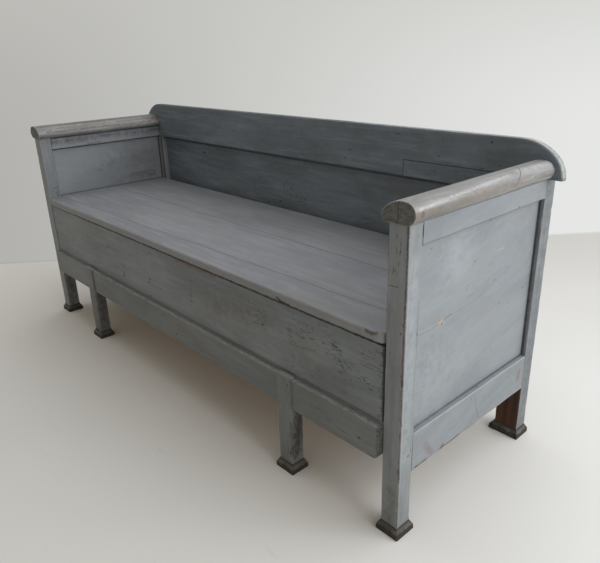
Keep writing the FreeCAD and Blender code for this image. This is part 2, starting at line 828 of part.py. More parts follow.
def tray_front(nails):
    board = block(
        both_ways("pull_half"),
        ("front_board_front", "front_board_back"),
        ("front_board_low", "front_board_top"),
    )
    keep(without(board, nails), "pullout_front_board")
    body = new_body()
    profile = new_sketch(body, "YZ_Plane")
    polygon(profile, [
        ("pull_rail_front", "pull_rail_low"), ("front_board_back", "pull_rail_low"),
        ("front_board_back", "front_board_low"), ("front_board_front", "front_board_low"),
        ("front_board_front", "pull_rail_top"), ("pull_rail_front", "pull_rail_top"),
    ])
    pad(body, profile, "2 * pull_half")
    rounded(body, "pull_rail_round", lambda middle, way: runs_along(way, "z")
            and level_with(middle.y, "pull_rail_front"))
    round_ledge(body)
    place(body, "-(pull_half)", "0", "0")
    housings = [
        block(
            around(leg_place, "leg_wide"),
            ("pull_rail_front", "front_board_front"),
            ("pull_rail_low", "pull_rail_top"),
        )
        for leg_place in ("left_leg_place", "right_leg_place")
    ]
    keep(without(body, *housings), "pullout_rail")


def round_ledge(body):
    """Rounds the edge where the rail's or a leg's front meets its top."""
    rounded(body, "pull_rail_round", lambda middle, way: runs_along(way, "x")
            and level_with(middle.y, "pull_rail_front") and level_with(middle.z, "pull_rail_top"))


def inner_leg(name):
    """A leg of the pull-out front, thinned above to lie in the rail's housing."""
    body = new_body()
    profile = new_sketch(body, "YZ_Plane")
    leg_back = "pull_rail_front + leg_deep"
    polygon(profile, [
        ("pull_rail_front", "foot_high"), (leg_back, "foot_high"),
        (leg_back, "pull_rail_low"), ("front_board_front", "pull_rail_low"),
        ("front_board_front", "pull_rail_top"), ("pull_rail_front", "pull_rail_top"),
    ])
    pad(body, profile, "leg_wide")
    round_ledge(body)
    x = around(f"{name}_leg_place", "leg_wide")
    y = ("pull_rail_front", leg_back)
    place(body, x[0], "0", "0")
    keep(joined(body, foot_pin(x, y)), f"{name}_inner_leg")
    keep(post_foot(x, y, ("foot_reach", "foot_reach")), f"{name}_inner_foot")


def tray(nails):
    """The sides, slats, bearer and rear bar that slide out with the front."""
    tray_heights = ("tray_base", "tray_base + slat_thick")
    for name, side in SIDES.items():
        board = block(
            across(side, "side_inner", "side_outer"),
            ("front_board_back", "rear_bearer_front - side_back_gap"),
            ("side_low", "side_top"),
        )
        keep(without(board, nails), f"pullout_{name}_side")
    keep(block(
        both_ways("side_inner"),
        ("front_board_back", "front_board_back + bearer_deep"),
        ("tray_base - bearer_high", "tray_base"),
    ), "pullout_slat_bearer")
    keep(block(
        both_ways("side_inner"),
        ("tray_back - rear_bar_deep", "tray_back"),
        ("tray_base - rear_bar_high", "tray_base"),
    ), "pullout_rear_bar")
    for number, index in enumerate(range(0, SLAT_COUNT, 2), start=1):
        keep(block(slat_span(index), ("front_board_back", "tray_back"), tray_heights),
             f"pullout_slat_{number}")


def build():
    pegs = all_pegs()
    for name, side in SIDES.items():
        front_post(name, side, pegs)
        rear_post(name, side, pegs)
        end_rails(name, side, pegs)
        end_boards(name, side)
        armrest(name, side, pegs)
        inner_cleats(name, side)
    crest_board(pegs)
    back_boards()
    keep(block(
        both_ways("crest_half"),
        ("lid_back - back_cleat_seat", "back_board_front"),
        ("cleat_low", "lid_low"),
    ), "lid_back_cleat")
    fixed_bottom()
    lid()
    nails = tray_nails()
    tray_front(nails)
    inner_leg("left")
    inner_leg("right")
    tray(nails)


build()
document.recompute()

faults = [item.Name for item in document.Objects if "Invalid" in item.State or "Error" in item.State]
faults += [item.Label for item in pieces if item.Shape.isNull() or not item.Shape.isValid()]
if faults:
    raise RuntimeError("failed: " + ", ".join(faults))

os.makedirs("parts", exist_ok=True)
for item in pieces:
    item.Shape.exportStep(f"parts/{item.Label}.step")
    print(item.Label, len(item.Shape.Solids), round(item.Shape.Volume))
whole = Part.makeCompound([item.Shape for item in pieces]).BoundBox
print("pieces", len(pieces))
print("box", whole)
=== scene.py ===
"""Looks of the old pull-out bench bed: worn grey-blue paint on pine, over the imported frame."""

import itertools
import math

import bpy
import numpy as np
from mathutils import Matrix, Vector
from mathutils.geometry import delaunay_2d_cdt


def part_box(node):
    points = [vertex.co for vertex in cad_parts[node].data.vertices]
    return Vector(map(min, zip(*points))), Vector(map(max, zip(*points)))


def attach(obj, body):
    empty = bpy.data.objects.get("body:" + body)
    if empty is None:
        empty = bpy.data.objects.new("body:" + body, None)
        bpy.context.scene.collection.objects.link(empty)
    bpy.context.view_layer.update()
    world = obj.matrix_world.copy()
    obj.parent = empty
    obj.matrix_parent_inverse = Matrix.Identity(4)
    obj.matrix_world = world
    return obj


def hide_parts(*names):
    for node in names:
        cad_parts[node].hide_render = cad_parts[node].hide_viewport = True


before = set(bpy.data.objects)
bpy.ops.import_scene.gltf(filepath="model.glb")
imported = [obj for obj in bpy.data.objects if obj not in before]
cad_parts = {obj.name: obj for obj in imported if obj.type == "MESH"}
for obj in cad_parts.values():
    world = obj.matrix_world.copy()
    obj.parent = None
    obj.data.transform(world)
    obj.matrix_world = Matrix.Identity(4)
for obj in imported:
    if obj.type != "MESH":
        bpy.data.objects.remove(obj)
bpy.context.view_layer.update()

MM = 0.001
AXES = {"x": 0, "y": 1, "z": 2}


# Shapes. Points are in millimetres until they become a mesh.

TINY = 1e-9
# How far from a joint an edge grows to its full wear, and how deep a chip of strength 1 is.
JOINT_RUN = 16
CHIP_DEPTH = 5.0
# Rings of points inside a prism's caps and past its rims, and the angles of the rings on a rim.
CAP_INSETS = (4.0, 11.0)
RIM_INSETS = (3.5, 11.0)
RIM_TURNS = (0, 0.4, math.pi / 4, 1.17, math.pi / 2)
RIM_MOST = 8.0
LEAD = 17


def waves(points, seed, width, count=8):
    """Smooth seeded noise, about -1 to 1; width is the usual size of a bump in mm."""
    rng = np.random.default_rng(seed)
    ways = rng.normal(size=(count, 3)) * (2.4 / width)
    shift = rng.uniform(0, 2 * math.pi, count)
    return np.sin(points @ ways.T + shift).sum(axis=1) / math.sqrt(count) * 0.8


def smooth(x, lo, hi):
    """A soft step from 0 at lo to 1 at hi."""
    t = np.clip((x - lo) / (hi - lo), 0, 1)
    return t * t * (3 - 2 * t)


def others(k):
    """The two axes that follow axis k."""
    return (k + 1) % 3, (k + 2) % 3


def node_box(node, **spans):
    """Corners of a CAD node in mm, with the named axes' spans replaced."""
    lo, hi = (np.array(c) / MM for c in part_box(node))
    for axis, (a, b) in spans.items():
        lo[AXES[axis]], hi[AXES[axis]] = a, b
    return lo, hi


def stops(lo, hi, radius, step):
    """Where the lattice lines lie along one axis: close together near both ends."""
    offsets = (0, 0.3 * radius, 0.65 * radius, radius, 1.8 * radius, 3.5 * radius, 12.0)
    near = np.array([f for f in offsets if f < (hi - lo) * 0.45])
    last = near.max()
    count = max(1, math.ceil((hi - lo - 2 * last) / step))
    middle = np.linspace(lo + last, hi - last, count + 1)
    return np.unique(np.round(np.concatenate([lo + near, middle, hi - near]), 4))


class Shape:
    """Points, faces and per-point values, which the materials read."""

    def __init__(self, points, faces, edge, grain="x", seed=0):
        self.points = np.asarray(points, float)
        self.faces = [tuple(f) for f in faces]
        self.edge = np.asarray(edge, float)
        rng = np.random.default_rng(seed + 77)
        self.axis = AXES[grain]
        self.along = self.points[:, [self.axis, *others(self.axis)]] + rng.uniform(-4000, 4000, 3)
        self.tone = np.full(len(self.points), rng.uniform(-1, 1))

    def joined(self, other):
        base = len(self.points)
        self.faces += [tuple(i + base for i in f) for f in other.faces]
        for key in ("points", "edge", "along", "tone"):
            setattr(self, key, np.concatenate([getattr(self, key), getattr(other, key)]))
        return self


def box_lattice(lines):
    """The points and quads of a box's surface, with the given lattice lines along its axes."""
    sheets, quads, base = [], [], 0
    for k in range(3):
        u, v = others(k)
        gu, gv = np.meshgrid(lines[u], lines[v], indexing="ij")
        for side in (0, -1):
            p = np.empty(gu.shape + (3,))
            p[..., k], p[..., u], p[..., v] = lines[k][side], gu, gv
            index = base + np.arange(gu.size).reshape(gu.shape)
            corners = [index[:-1, :-1], index[1:, :-1], index[1:, 1:], index[:-1, 1:]]
            quad = np.stack(corners, -1).reshape(-1, 4)
            sheets.append(p.reshape(-1, 3))
            quads.append(quad if side else quad[:, ::-1])
            base += gu.size
    points, back = np.unique(np.round(np.vstack(sheets), 4), axis=0, return_inverse=True)
    return points, back.reshape(-1)[np.vstack(quads)]


def board(lo, hi, grain="x", radius=3.0, step=12.0, seed=1, joints="", wear=1.0, relief=0.25, chips=1.0):
    """A board with worn, uneven edges.

    Ends along the axes in joints meet another piece and stay tight.
    """
    lo, hi = np.asarray(lo, float), np.asarray(hi, float)
    radius = min(radius, 0.3 * (hi - lo).min())
    points, faces = box_lattice([stops(lo[i], hi[i], radius, step) for i in range(3)])

    depth = np.minimum(points - lo, hi - points)
    edge = np.sort(np.where([a in joints for a in "xyz"], 1e3, depth), axis=1)
    # On a face whose own axis is a joint the first value is its distance from the rim.
    on_joint = np.zeros(len(points), bool)
    for a in joints:
        on_joint |= depth[:, AXES[a]] < 1e-6
    edge = np.where(on_joint, edge[:, 0], edge[:, 1])

    rough = waves(points, seed, 55) + 0.6 * waves(points, seed + 1, 14)
    chip = np.clip(waves(points, seed + 2, 30) + 0.5 * waves(points, seed + 3, 9) - 1.05, 0, 1.2)
    local = radius * (0.75 + 0.28 * wear * np.clip(rough, -1.2, 1.6)) + CHIP_DEPTH * chips * chip
    local = np.clip(local, 0.5, 0.46 * (hi - lo).min())
    for a in joints:
        local = np.minimum(local, 0.6 + local * smooth(depth[:, AXES[a]], 0, JOINT_RUN))
    local = local[:, None]
    inner = np.clip(points, lo + local, hi - local)
    out = points - inner
    way = out / np.maximum(np.linalg.norm(out, axis=1, keepdims=True), TINY)
    sink = relief * (0.55 + 0.45 * np.clip(waves(points, seed + 4, 70), -1, 1))[:, None]
    return Shape(inner + way * (local - sink), faces, edge, grain, seed)


def twice_area(p):
    """Twice the area inside a closed outline, above 0 where it runs counter-clockwise."""
    q = np.roll(p, -1, axis=0)
    return (p[:, 0] * q[:, 1] - q[:, 0] * p[:, 1]).sum()


def closed_loops(after):
    """The closed loops in a dict that gives each point's follower."""
    loops = []
    while after:
        start = here = min(after)
        loop = []
        while here in after:
            loop.append(here)
            here = after.pop(here)
            if here == start:
                break
        loops.append(loop)
    return loops


def cap_outline(node, axis):
    """The outline of a CAD node's flat low end, as (u, v) pairs in mm, read from its mesh."""
    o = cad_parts[node]
    mesh = o.data
    co = np.array([o.matrix_world @ v.co for v in mesh.vertices]) / MM
    k = AXES[axis]
    keys = [tuple(np.round(c, 3)) for c in co]
    flat = np.abs(co[:, k] - co[:, k].min()) < 1e-3
    edges = set()
    mesh.calc_loop_triangles()
    for t in mesh.loop_triangles:
        if all(flat[i] for i in t.vertices):
            ring = [keys[i] for i in t.vertices]
            for a, b in zip(ring, ring[1:] + ring[:1]):
                if (b, a) in edges:
                    edges.remove((b, a))
                else:
                    edges.add((a, b))
    outlines = (np.array(loop)[:, list(others(k))] for loop in closed_loops(dict(edges)))
    return max(outlines, key=lambda p: abs(twice_area(p)))


def dense(outline, step, clear):
    """The same closed outline, counter-clockwise, with points no further apart than step.

    The new points stay clear of sharp corners, so that an inset keeps its order.
    """
    p = np.asarray(outline, float)
    p = p[np.linalg.norm(p - np.roll(p, 1, axis=0), axis=1) > 1e-3]
    if twice_area(p) < 0:
        p = p[::-1]
    out = []
    for a, b in zip(p, np.roll(p, -1, axis=0)):
        out.append(a)
        gap = np.linalg.norm(b - a)
        free = gap - 2 * clear
        if free > 1.5 * clear:
            inner = clear + free * np.linspace(0, 1, max(2, math.ceil(free / step) + 1))
            out += [a + (b - a) * s / gap for s in inner]
    return np.array(out)


def far_from(points, outline):
    """Distance of each point from a closed outline."""
    run = np.roll(outline, -1, axis=0) - outline
    share = ((points[:, None] - outline) * run).sum(axis=2) / np.maximum((run * run).sum(axis=1), 1e-12)
    near = outline + run * np.clip(share, 0, 1)[..., None]
    return np.linalg.norm(points[:, None] - near, axis=2).min(axis=1)


def normals_of(p):
    """Outward mitre vectors of a counter-clockwise outline.

    Adding them times d moves every side by d.
    """
    n = []
    for d in (p - np.roll(p, 1, axis=0), np.roll(p, -1, axis=0) - p):
        d = d / np.maximum(np.linalg.norm(d, axis=1, keepdims=True), TINY)
        n.append(np.stack([d[:, 1], -d[:, 0]], 1))
    m = n[0] + n[1]
    return m / np.maximum((m * n[0]).sum(axis=1, keepdims=True), 0.6)


def fill(ring):
    """A flat cap inside the ring: its inner points, their distance from the rim, and its triangles.

    The triangles' first numbers are the ring's own points.
    """
    out = normals_of(ring)
    inner, edge = [], []
    for inset in CAP_INSETS:
        p = ring - out * inset
        p = p[far_from(p, ring) > inset * 0.93]
        good = []
        for q in p:
            if not good or np.linalg.norm(q - good[-1]) > 2.5:
                good.append(q)
        inner += good
        edge += [inset] * len(good)
    every = [Vector(q) for q in ring] + [Vector(q) for q in inner]
    made = delaunay_2d_cdt(every, [], [list(range(len(ring)))], 1, 1e-5)
    first = [ids[0] if ids else -1 for ids in made[3]]
    triangles = [[first[i] for i in f] for f in made[2]]
    return np.array(inner).reshape(-1, 2), np.array(edge), [f for f in triangles if -1 not in f]


def corner_distance(p, tightest=9.0):
    """How far each outline point is, along the outline, from the nearest tight corner."""
    before, after = p - np.roll(p, 1, axis=0), np.roll(p, -1, axis=0) - p
    la, lb = np.linalg.norm(before, axis=1), np.linalg.norm(after, axis=1)
    across = before[:, 0] * after[:, 1] - before[:, 1] * after[:, 0]
    turn = np.abs(np.arctan2(across, (before * after).sum(axis=1)))
    tight = (turn > np.minimum((la + lb) / 2 / tightest, 0.9) * 0.98) & (turn > 0.05)
    if not tight.any():
        return np.full(len(p), 50.0)
    where = np.concatenate([[0], np.cumsum(lb)[:-1]])
    gap = np.abs(where[:, None] - where[tight][None, :])
    return np.minimum(gap, lb.sum() - gap).min(axis=1)


def rim_rings(end, sign, worn, corner, half, most):
    """Levels, insets and edge distances of the rings that turn a prism's rim, from its end inwards."""
    group = []
    for t in RIM_TURNS:
        level = end + sign * worn * (1 - math.cos(t))
        group.append((level, worn * (1 - math.sin(t)), worn * abs(t - math.pi / 4) * 0.5))
    for more in RIM_INSETS:
        if more + most < half * 0.95:
            level = end + sign * np.minimum(worn + more, half)
            group.append((level, worn * 0, np.minimum(corner, more + worn * 0.4)))
    return group


def prism(outline, axis, a, b, rim=3.0, step=12.0, grain="x", seed=1, wear=1.0):
    """The outline carried along an axis from a to b, with worn rims.

    rim is a number, or a function of the outline's points and of the end, -1 or 1.
    """
    most = RIM_MOST if callable(rim) else float(rim)
    p = dense(outline, step, 1.7 * most)
    n = len(p)
    out = normals_of(p)
    corner = corner_distance(p)
    half = (b - a) / 2
    k = AXES[axis]
    u, v = others(k)
    rings, edges, faces = [], [], []

    def place(flat, level):
        ring = np.empty((len(flat), 3))
        ring[:, k], ring[:, u], ring[:, v] = level, flat[:, 0], flat[:, 1]
        return ring

    for end, sign in ((a, 1), (b, -1)):
        at = place(p, end)
        rims = rim(p, -sign) if callable(rim) else np.full(n, float(rim))
        worn = rims * (0.8 + 0.3 * wear * np.clip(waves(at, seed + sign, 40), -1, 1.4))
        chip = np.clip(waves(at, seed + 5 * sign, 26) - 1.15, 0, 1) * CHIP_DEPTH * wear
        worn = np.clip(np.where(rims > 1.5, worn + chip, worn), 0.3, min(half * 1.1, 1.5 * most))
        for level, inset, edge in rim_rings(end, sign, worn, corner, half, most)[::sign]:
            rings.append(place(p - out * inset[:, None], level))
            edges.append(edge)
        free = b - a - 2 * LEAD
        if sign > 0 and b - a > 40:
            count = math.ceil(free / step)
            for t in np.arange(1, count) / count:
                rings.append(place(p, a + LEAD + free * t))
                edges.append(np.minimum(corner, 20))
    around = np.arange(n)
    after = (around + 1) % n
    for r in range(len(rings) - 1):
        here, above = r * n, (r + 1) * n
        faces += np.stack([here + around, here + after, above + after, above + around], 1).tolist()
    base = len(rings) * n
    for ring, first, low in ((rings[0], 0, True), (rings[-1], base - n, False)):
        inner, edge, triangles = fill(ring[:, [u, v]])
        for f in triangles:
            f = [first + i if i < n else base + i - n for i in f]
            faces.append(f[::-1] if low else f)
        rings.append(place(inner, ring[0, k]))
        edges.append(edge)
        base += len(inner)
    return Shape(np.vstack(rings), faces, np.concatenate(edges), grain, seed)


def per_face(mesh, key):
    """A vector for each face of a mesh: its normal or its centre."""
    values = np.empty(len(mesh.polygons) * 3)
    mesh.polygons.foreach_get(key, values)
    return values.reshape(-1, 3)


def make(name, shape, material, body, nodes=(), ends=None, where=None):
    """Turns a shape into a piece, which stands for the named CAD nodes.

    ends is a second material, for faces across the grain, or for those that where picks from
    their centres and normals.
    """
    mesh = bpy.data.meshes.new(name)
    faces = [tuple(int(i) for i in f) for f in shape.faces]
    mesh.from_pydata((shape.points * MM).tolist(), [], faces)
    for key, values in (("edge", shape.edge * MM), ("tone", shape.tone)):
        mesh.attributes.new(key, "FLOAT", "POINT").data.foreach_set("value", values.astype(np.float32))
    grain = mesh.attributes.new("grain", "FLOAT_VECTOR", "POINT")
    grain.data.foreach_set("vector", (shape.along * MM).astype(np.float32).ravel())
    mesh.materials.append(material)
    mesh.polygons.foreach_set("use_smooth", [True] * len(mesh.polygons))
    mesh.update()
    if ends:
        mesh.materials.append(ends)
        normal = per_face(mesh, "normal")
        if where:
            chosen = where(per_face(mesh, "center") / MM, normal)
        else:
            chosen = np.abs(normal[:, shape.axis]) > 0.7
        mesh.polygons.foreach_set("material_index", chosen.astype(np.int32))
    o = bpy.data.objects.new(name, mesh)
    bpy.context.scene.collection.objects.link(o)
    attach(o, body)
    if nodes:
        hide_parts(*([nodes] if isinstance(nodes, str) else nodes))


# Materials. Colours are as they show on screen, 0 to 255.

BROWN = (84, 62, 50)
PALE = (150, 142, 128)
DARK = (44, 40, 36)
SEAM = (58, 58, 58)
# Painted shade in the gap under the lid's nose.
NOSE_GAP_SHADE = (22, 10, 6)
# Widths of marks in mm: below FINE they are unbroken, from BROAD on they are soft, flat stains.
FINE, BROAD = 6, 20


def rgb(r, g, b):
    """The linear colour that the nodes take."""
    def one(c):
        c /= 255
        return c / 12.92 if c <= 0.04045 else ((c + 0.055) / 1.055) ** 2.4
    return (one(r), one(g), one(b), 1.0)


class Nodes:
    """Short ways to make and join nodes in one material or world.

    where is a point's place in metres, in the bench's own frame.
    """

    def __init__(self, owner, output="OutputMaterial"):
        self.owner = owner
        owner.use_nodes = True
        self.tree = owner.node_tree
        self.tree.nodes.clear()
        self.surface_socket = self.tree.nodes.new("ShaderNode" + output).inputs["Surface"]
        self.where = self.node("TexCoord", output="Object")

    def put(self, socket, value):
        """Links a socket to another or sets it; three numbers for a colour are as on screen."""
        if isinstance(value, bpy.types.NodeSocket):
            self.tree.links.new(value, socket)
        elif value is not None:
            on_screen = socket.type == "RGBA" and len(value) == 3
            socket.default_value = rgb(*value) if on_screen else value

    def node(self, kind, inputs=None, output=0, **settings):
        """One output of a new node with the given settings and inputs."""
        node = self.tree.nodes.new("ShaderNode" + kind)
        for key, value in settings.items():
            setattr(node, key, value)
        for key, value in (inputs or {}).items():
            self.put(node.inputs[key], value)
        return node.outputs[output]

    def attribute(self, name, output="Fac"):
        return self.node("Attribute", output=output, attribute_name=name)

    def math(self, operation, a, b, c=None, clamp=False):
        return self.node("Math", {0: a, 1: b, 2: c}, operation=operation, use_clamp=clamp)

    def plus(self, a, b):
        return self.math("ADD", a, b)

    def minus(self, a, b):
        return self.math("SUBTRACT", a, b)

    def times(self, a, b):
        return self.math("MULTIPLY", a, b)

    def times_plus(self, a, b, c):
        return self.math("MULTIPLY_ADD", a, b, c)

    def most(self, a, b):
        return self.math("MAXIMUM", a, b)

    def vector(self, operation, a, b=None, scale=None, value=False):
        output = "Value" if value else "Vector"
        return self.node("VectorMath", {0: a, 1: b, 3: scale}, output, operation=operation)

    def height(self):
        """Metres above the floor."""
        return self.node("SeparateXYZ", {0: self.where}, 2)

    def noise(self, vector, scale, detail=3.0, rough=0.55, twist=0.0):
        settings = {"Scale": 1.0, "Detail": detail, "Roughness": rough, "Distortion": twist}
        settings["Vector"] = self.vector("MULTIPLY", vector, scale)
        return self.node("TexNoise", settings, "Fac", noise_dimensions="3D")

    def ragged(self, vector, scale, detail=3.0, rough=0.7):
        """Noise about zero, which makes a rim uneven."""
        return self.minus(self.noise(vector, scale, detail, rough), 0.5)

    def cells(self, vector, scale):
        """Distance from the nearest of many scattered points."""
        settings = {"Scale": 1.0, "Vector": self.vector("MULTIPLY", vector, scale)}
        return self.node("TexVoronoi", settings, "Distance", voronoi_dimensions="3D", feature="F1")

    def step(self, value, lo, hi, to=(0.0, 1.0)):
        inputs = dict(enumerate((value, lo, hi, *to)))
        return self.node("MapRange", inputs, interpolation_type="SMOOTHSTEP")

    def mix(self, amount, a, b):
        inputs = {0: amount, 6: a, 7: b}
        return self.node("Mix", inputs, 2, data_type="RGBA", blend_type="MIX", clamp_factor=True)

    def bump(self, height, strength, distance, normal=None):
        inputs = {"Strength": strength, "Distance": distance, "Height": height, "Normal": normal}
        return self.node("Bump", inputs, "Normal")

    def away_from(self, path):
        """Distance in metres from a path of points that are in mm."""
        path = [Vector(p) * MM for p in path]
        if len(path) == 1:
            return self.vector("DISTANCE", self.where, tuple(path[0]), value=True)
        least = None
        for a, b in zip(path, path[1:]):
            run = b - a
            away = self.vector("SUBTRACT", self.where, tuple(a))
            share = self.vector("DOT_PRODUCT", away, tuple(run / run.length_squared), value=True)
            share = self.math("ADD", share, 0.0, clamp=True)
            near = self.vector("SCALE", tuple(run), scale=share)
            far = self.vector("DISTANCE", away, near, value=True)
            least = far if least is None else self.math("MINIMUM", least, far)
        return least

    def marked(self, marks, colour, height):
        """Adds the marks to a colour and a height: knots, cracks, chips and stains, and painted shade and
        painted light, each in its place.
        """
        if not marks:
            return colour, height
        rim = self.ragged(self.where, (120, 120, 120))
        broken = self.step(self.noise(self.where, (38, 38, 38), 4, 0.7), 0.3, 0.62, (0.25, 1.0))
        for path, width, *look in marks:
            mark, strength = look or (DARK, 0.85)
            far = self.times_plus(rim, min(width * 1.3, 16) * MM, self.away_from(path))
            full = width * MM * (0.45 if width < BROAD else -0.2)
            mask = self.step(far, width * MM, full, (0.0, strength))
            if width >= FINE:
                mask = self.times(mask, broken)
            colour = self.mix(mask, colour, mark)
            if width < BROAD:
                height = self.times_plus(mask, -0.6, height)
        return colour, height

    def flecked(self, areas, grain, colour, height, dark):
        """Adds small paint losses, thick inside each (path, width, amount) area and thin at its rim."""
        if not areas:
            return colour, height
        spread = self.ragged(self.where, (60, 60, 60))
        most = None
        for path, width, amount in areas:
            far = self.times_plus(spread, width * MM, self.away_from(path))
            mask = self.step(far, 1.3 * width * MM, 0.4 * width * MM, (0.0, amount))
            most = mask if most is None else self.most(most, mask)
        level = self.times_plus(most, -0.21, 0.73)
        fleck = self.minus(self.noise(grain, (60, 230, 230), 4, 0.75), level)
        mask = self.step(fleck, 0.0, 0.03, (0.0, 0.8))
        return self.mix(mask, colour, dark), self.times_plus(mask, -0.9, height)

    def shader(self, kind, **inputs):
        """A new shader; an underscore in an input's name stands for a space."""
        return self.node(kind, {name.replace("_", " "): value for name, value in inputs.items()})

    def finish(self, shader):
        self.put(self.surface_socket, shader)
        return self.owner

    def blend(self, amount, first, second):
        """Finishes with a mix of two shaders."""
        return self.finish(self.node("MixShader", {0: amount, 1: first, 2: second}))

    def surface(self, colour, roughness, normal, metal=None):
        """Finishes with an ordinary surface."""
        look = dict(Base_Color=colour, Roughness=roughness, Normal=normal, Metallic=metal)
        return self.finish(self.shader("BsdfPrincipled", **look))


def board_nodes(name):
    """Nodes for a new material, and two of the values that the shapes carry: grain and edge."""
    n = Nodes(bpy.data.materials.new(name))
    return n, n.attribute("grain", "Vector"), n.attribute("edge")


def paint(
    name, tones, stain=(112, 106, 98), stains=0.35, scratch=(52, 49, 45), scratches=0.5, specks=0.5,
    worn=BROWN, wear=1.6, rim=0.3, streak=0.4, slant=0.0, gloss=0.5, marks=(), flecks=(),
):
    """Old oil paint brushed along the grain, or slanted from it.

    tones are its dark, usual and light colour. wear is how far edges are rubbed, in mm, and rim
    how much lighter they are. marks are (path, width, colour, strength) lines and spots that
    show in one place, and flecks (path, width, amount) areas of small paint losses. The other
    numbers say how strong each effect is.
    """
    n, grain, edge = board_nodes(name)
    strokes = grain
    if slant:
        strokes = n.node("VectorRotate", {"Vector": grain, "Angle": slant}, rotation_type="Z_AXIS")
    clouds = n.noise(strokes, (3.2, 8, 8), 4, 0.6, 0.4)
    brush = n.noise(strokes, (6, 70, 70), 4, 0.62)
    hair = n.noise(grain, (14, 190, 190), 3, 0.6)
    mottle = n.noise(grain, (45, 60, 60), 4, 0.65)
    cloudy = n.plus(n.times(n.attribute("tone"), 0.05), clouds)
    colour = n.mix(n.step(cloudy, 0.34, 0.66), tones[0], tones[1])
    light = n.plus(n.times(n.step(brush, 0.44, 0.74), streak), n.times(n.step(mottle, 0.5, 0.8), 0.35))
    colour = n.mix(light, colour, tones[2])
    colour = n.mix(n.times(n.step(brush, 0.5, 0.3), streak * 0.8), colour, tones[0])
    # Warm patches, where the top coat has rubbed thin.
    thin = n.times(n.step(n.noise(strokes, (4, 13, 13), 5, 0.62, 0.3), 0.52, 0.72), stains)
    colour = n.mix(thin, colour, stain)
    # Fine dark scratches along the grain, thicker in some places than in others.
    place = n.step(n.noise(grain, (1.6, 6, 6)), 0.38, 0.66)
    lines = n.times(n.step(hair, 0.62, 0.74), n.times(place, scratches))
    fine = n.step(n.noise(grain, (70, 150, 150), 3, 0.6), 0.66, 0.73)
    dots = n.times(fine, n.times(n.step(n.noise(grain, (9, 20, 20), 2), 0.45, 0.62), specks))
    dark = n.most(lines, dots)
    colour = n.mix(dark, colour, scratch)
    # Small knocks: the odd cell holds a dent with a dark floor.
    chance = n.step(n.noise(grain, (7, 13, 13), 1), 0.56, 0.6)
    dent = n.times(n.step(n.cells(grain, (17, 30, 30)), 0.12, 0.05), chance)
    colour = n.mix(n.times(dent, specks), colour, scratch)
    # Edges catch the light, and in places they are rubbed through to the wood.
    colour = n.mix(n.times(n.step(edge, 5 * MM, 0.0), rim), colour, tones[2])
    bitten = n.step(n.noise(grain, (7, 19, 19), 3, 0.6), 0.5, 0.64)
    away = n.times_plus(n.ragged(grain, (80, 160, 160), 4), 4.2 * MM, 1.5 * MM)
    away = n.minus(n.plus(edge, away), n.times(bitten, wear * MM))
    rub = n.step(away, 0.5 * MM, -0.4 * MM)
    under = n.mix(n.step(n.noise(grain, (22, 60, 60), 3, 0.6), 0.515, 0.615), worn, PALE)
    colour = n.mix(n.times(rub, 0.8), colour, under)
    height = n.plus(n.times(brush, 0.5), n.times(hair, 0.25))
    height = n.minus(height, n.times(dark, 0.5))
    height = n.minus(height, n.plus(n.times(rub, 0.45), dent))
    colour, height = n.marked(marks, colour, height)
    colour, height = n.flecked(flecks, grain, colour, height, scratch)
    roughness = n.times_plus(mottle, 0.24, 0.72 - 0.42 * gloss)
    roughness = n.plus(roughness, n.times(n.most(rub, dark), 0.16))
    normal = n.bump(clouds, 0.5, 3.0 * MM, n.bump(height, 0.5, 0.7 * MM))
    return n.surface(colour, roughness, normal)


def end_grain(name, dark, light, split=(38, 36, 31), marks=()):
    """Painted end grain: curved growth rings, fine pores and short splits."""
    n, grain, edge = board_nodes(name)
    bend = n.vector("SCALE", n.node("TexNoise", output="Color"), scale=0.004)
    bent = n.vector("ADD", n.where, bend)
    rings = n.noise(bent, (60, 60, 420), 3, 0.6)
    mottle = n.noise(grain, (60, 90, 90), 4, 0.65)
    colour = n.mix(n.step(mottle, 0.3, 0.7), dark, light)
    colour = n.mix(n.times(n.step(rings, 0.55, 0.7), 0.6), colour, split)
    ragged = n.times(n.ragged(grain, (150, 150, 150)), 4 * MM)
    rub = n.step(n.plus(edge, ragged), 1.6 * MM, 0.4 * MM)
    colour = n.mix(n.times(rub, 0.3), colour, PALE)
    height = n.minus(n.times(mottle, 0.6), n.times(n.step(rings, 0.5, 0.7), 0.5))
    colour, height = n.marked(marks, colour, height)
    return n.surface(colour, n.step(mottle, 0.2, 0.8, (0.62, 0.85)), n.bump(height, 0.6, 0.8 * MM))


def bare_wood(name, dark, usual, light, knots=True):
    """Unpainted pine: growth bands, pores, the odd knot, grey with age."""
    n, grain, edge = board_nodes(name)
    sway = n.times(n.noise(grain, (1.6, 5, 5), 2), 0.12)
    swayed = n.vector("ADD", grain, n.vector("SCALE", (0.0, 0.5, 0.5), scale=sway))
    bands = n.noise(swayed, (1.2, 75, 75), 3, 0.6)
    pores = n.noise(grain, (25, 420, 420), 2)
    dirt = n.noise(grain, (5, 9, 9), 5, 0.65)
    colour = n.mix(n.step(bands, 0.35, 0.65), light, usual)
    colour = n.mix(n.times(n.step(bands, 0.56, 0.7), 0.7), colour, dark)
    colour = n.mix(n.times(n.step(pores, 0.58, 0.75), 0.35), colour, dark)
    if knots:
        knot = n.step(n.cells(grain, (2.1, 7.5, 7.5)), 0.11, 0.06)
        colour = n.mix(n.times(knot, 0.8), colour, (92, 56, 34))
    colour = n.mix(n.times(n.step(dirt, 0.48, 0.75), 0.5), colour, (96, 84, 70))
    colour = n.mix(n.times(n.step(edge, 3 * MM, 0.0), 0.35), colour, light)
    height = n.plus(n.times(bands, 0.8), n.times(pores, 0.3))
    return n.surface(colour, n.step(dirt, 0.2, 0.8, (0.66, 0.86)), n.bump(height, 0.5, 0.7 * MM))


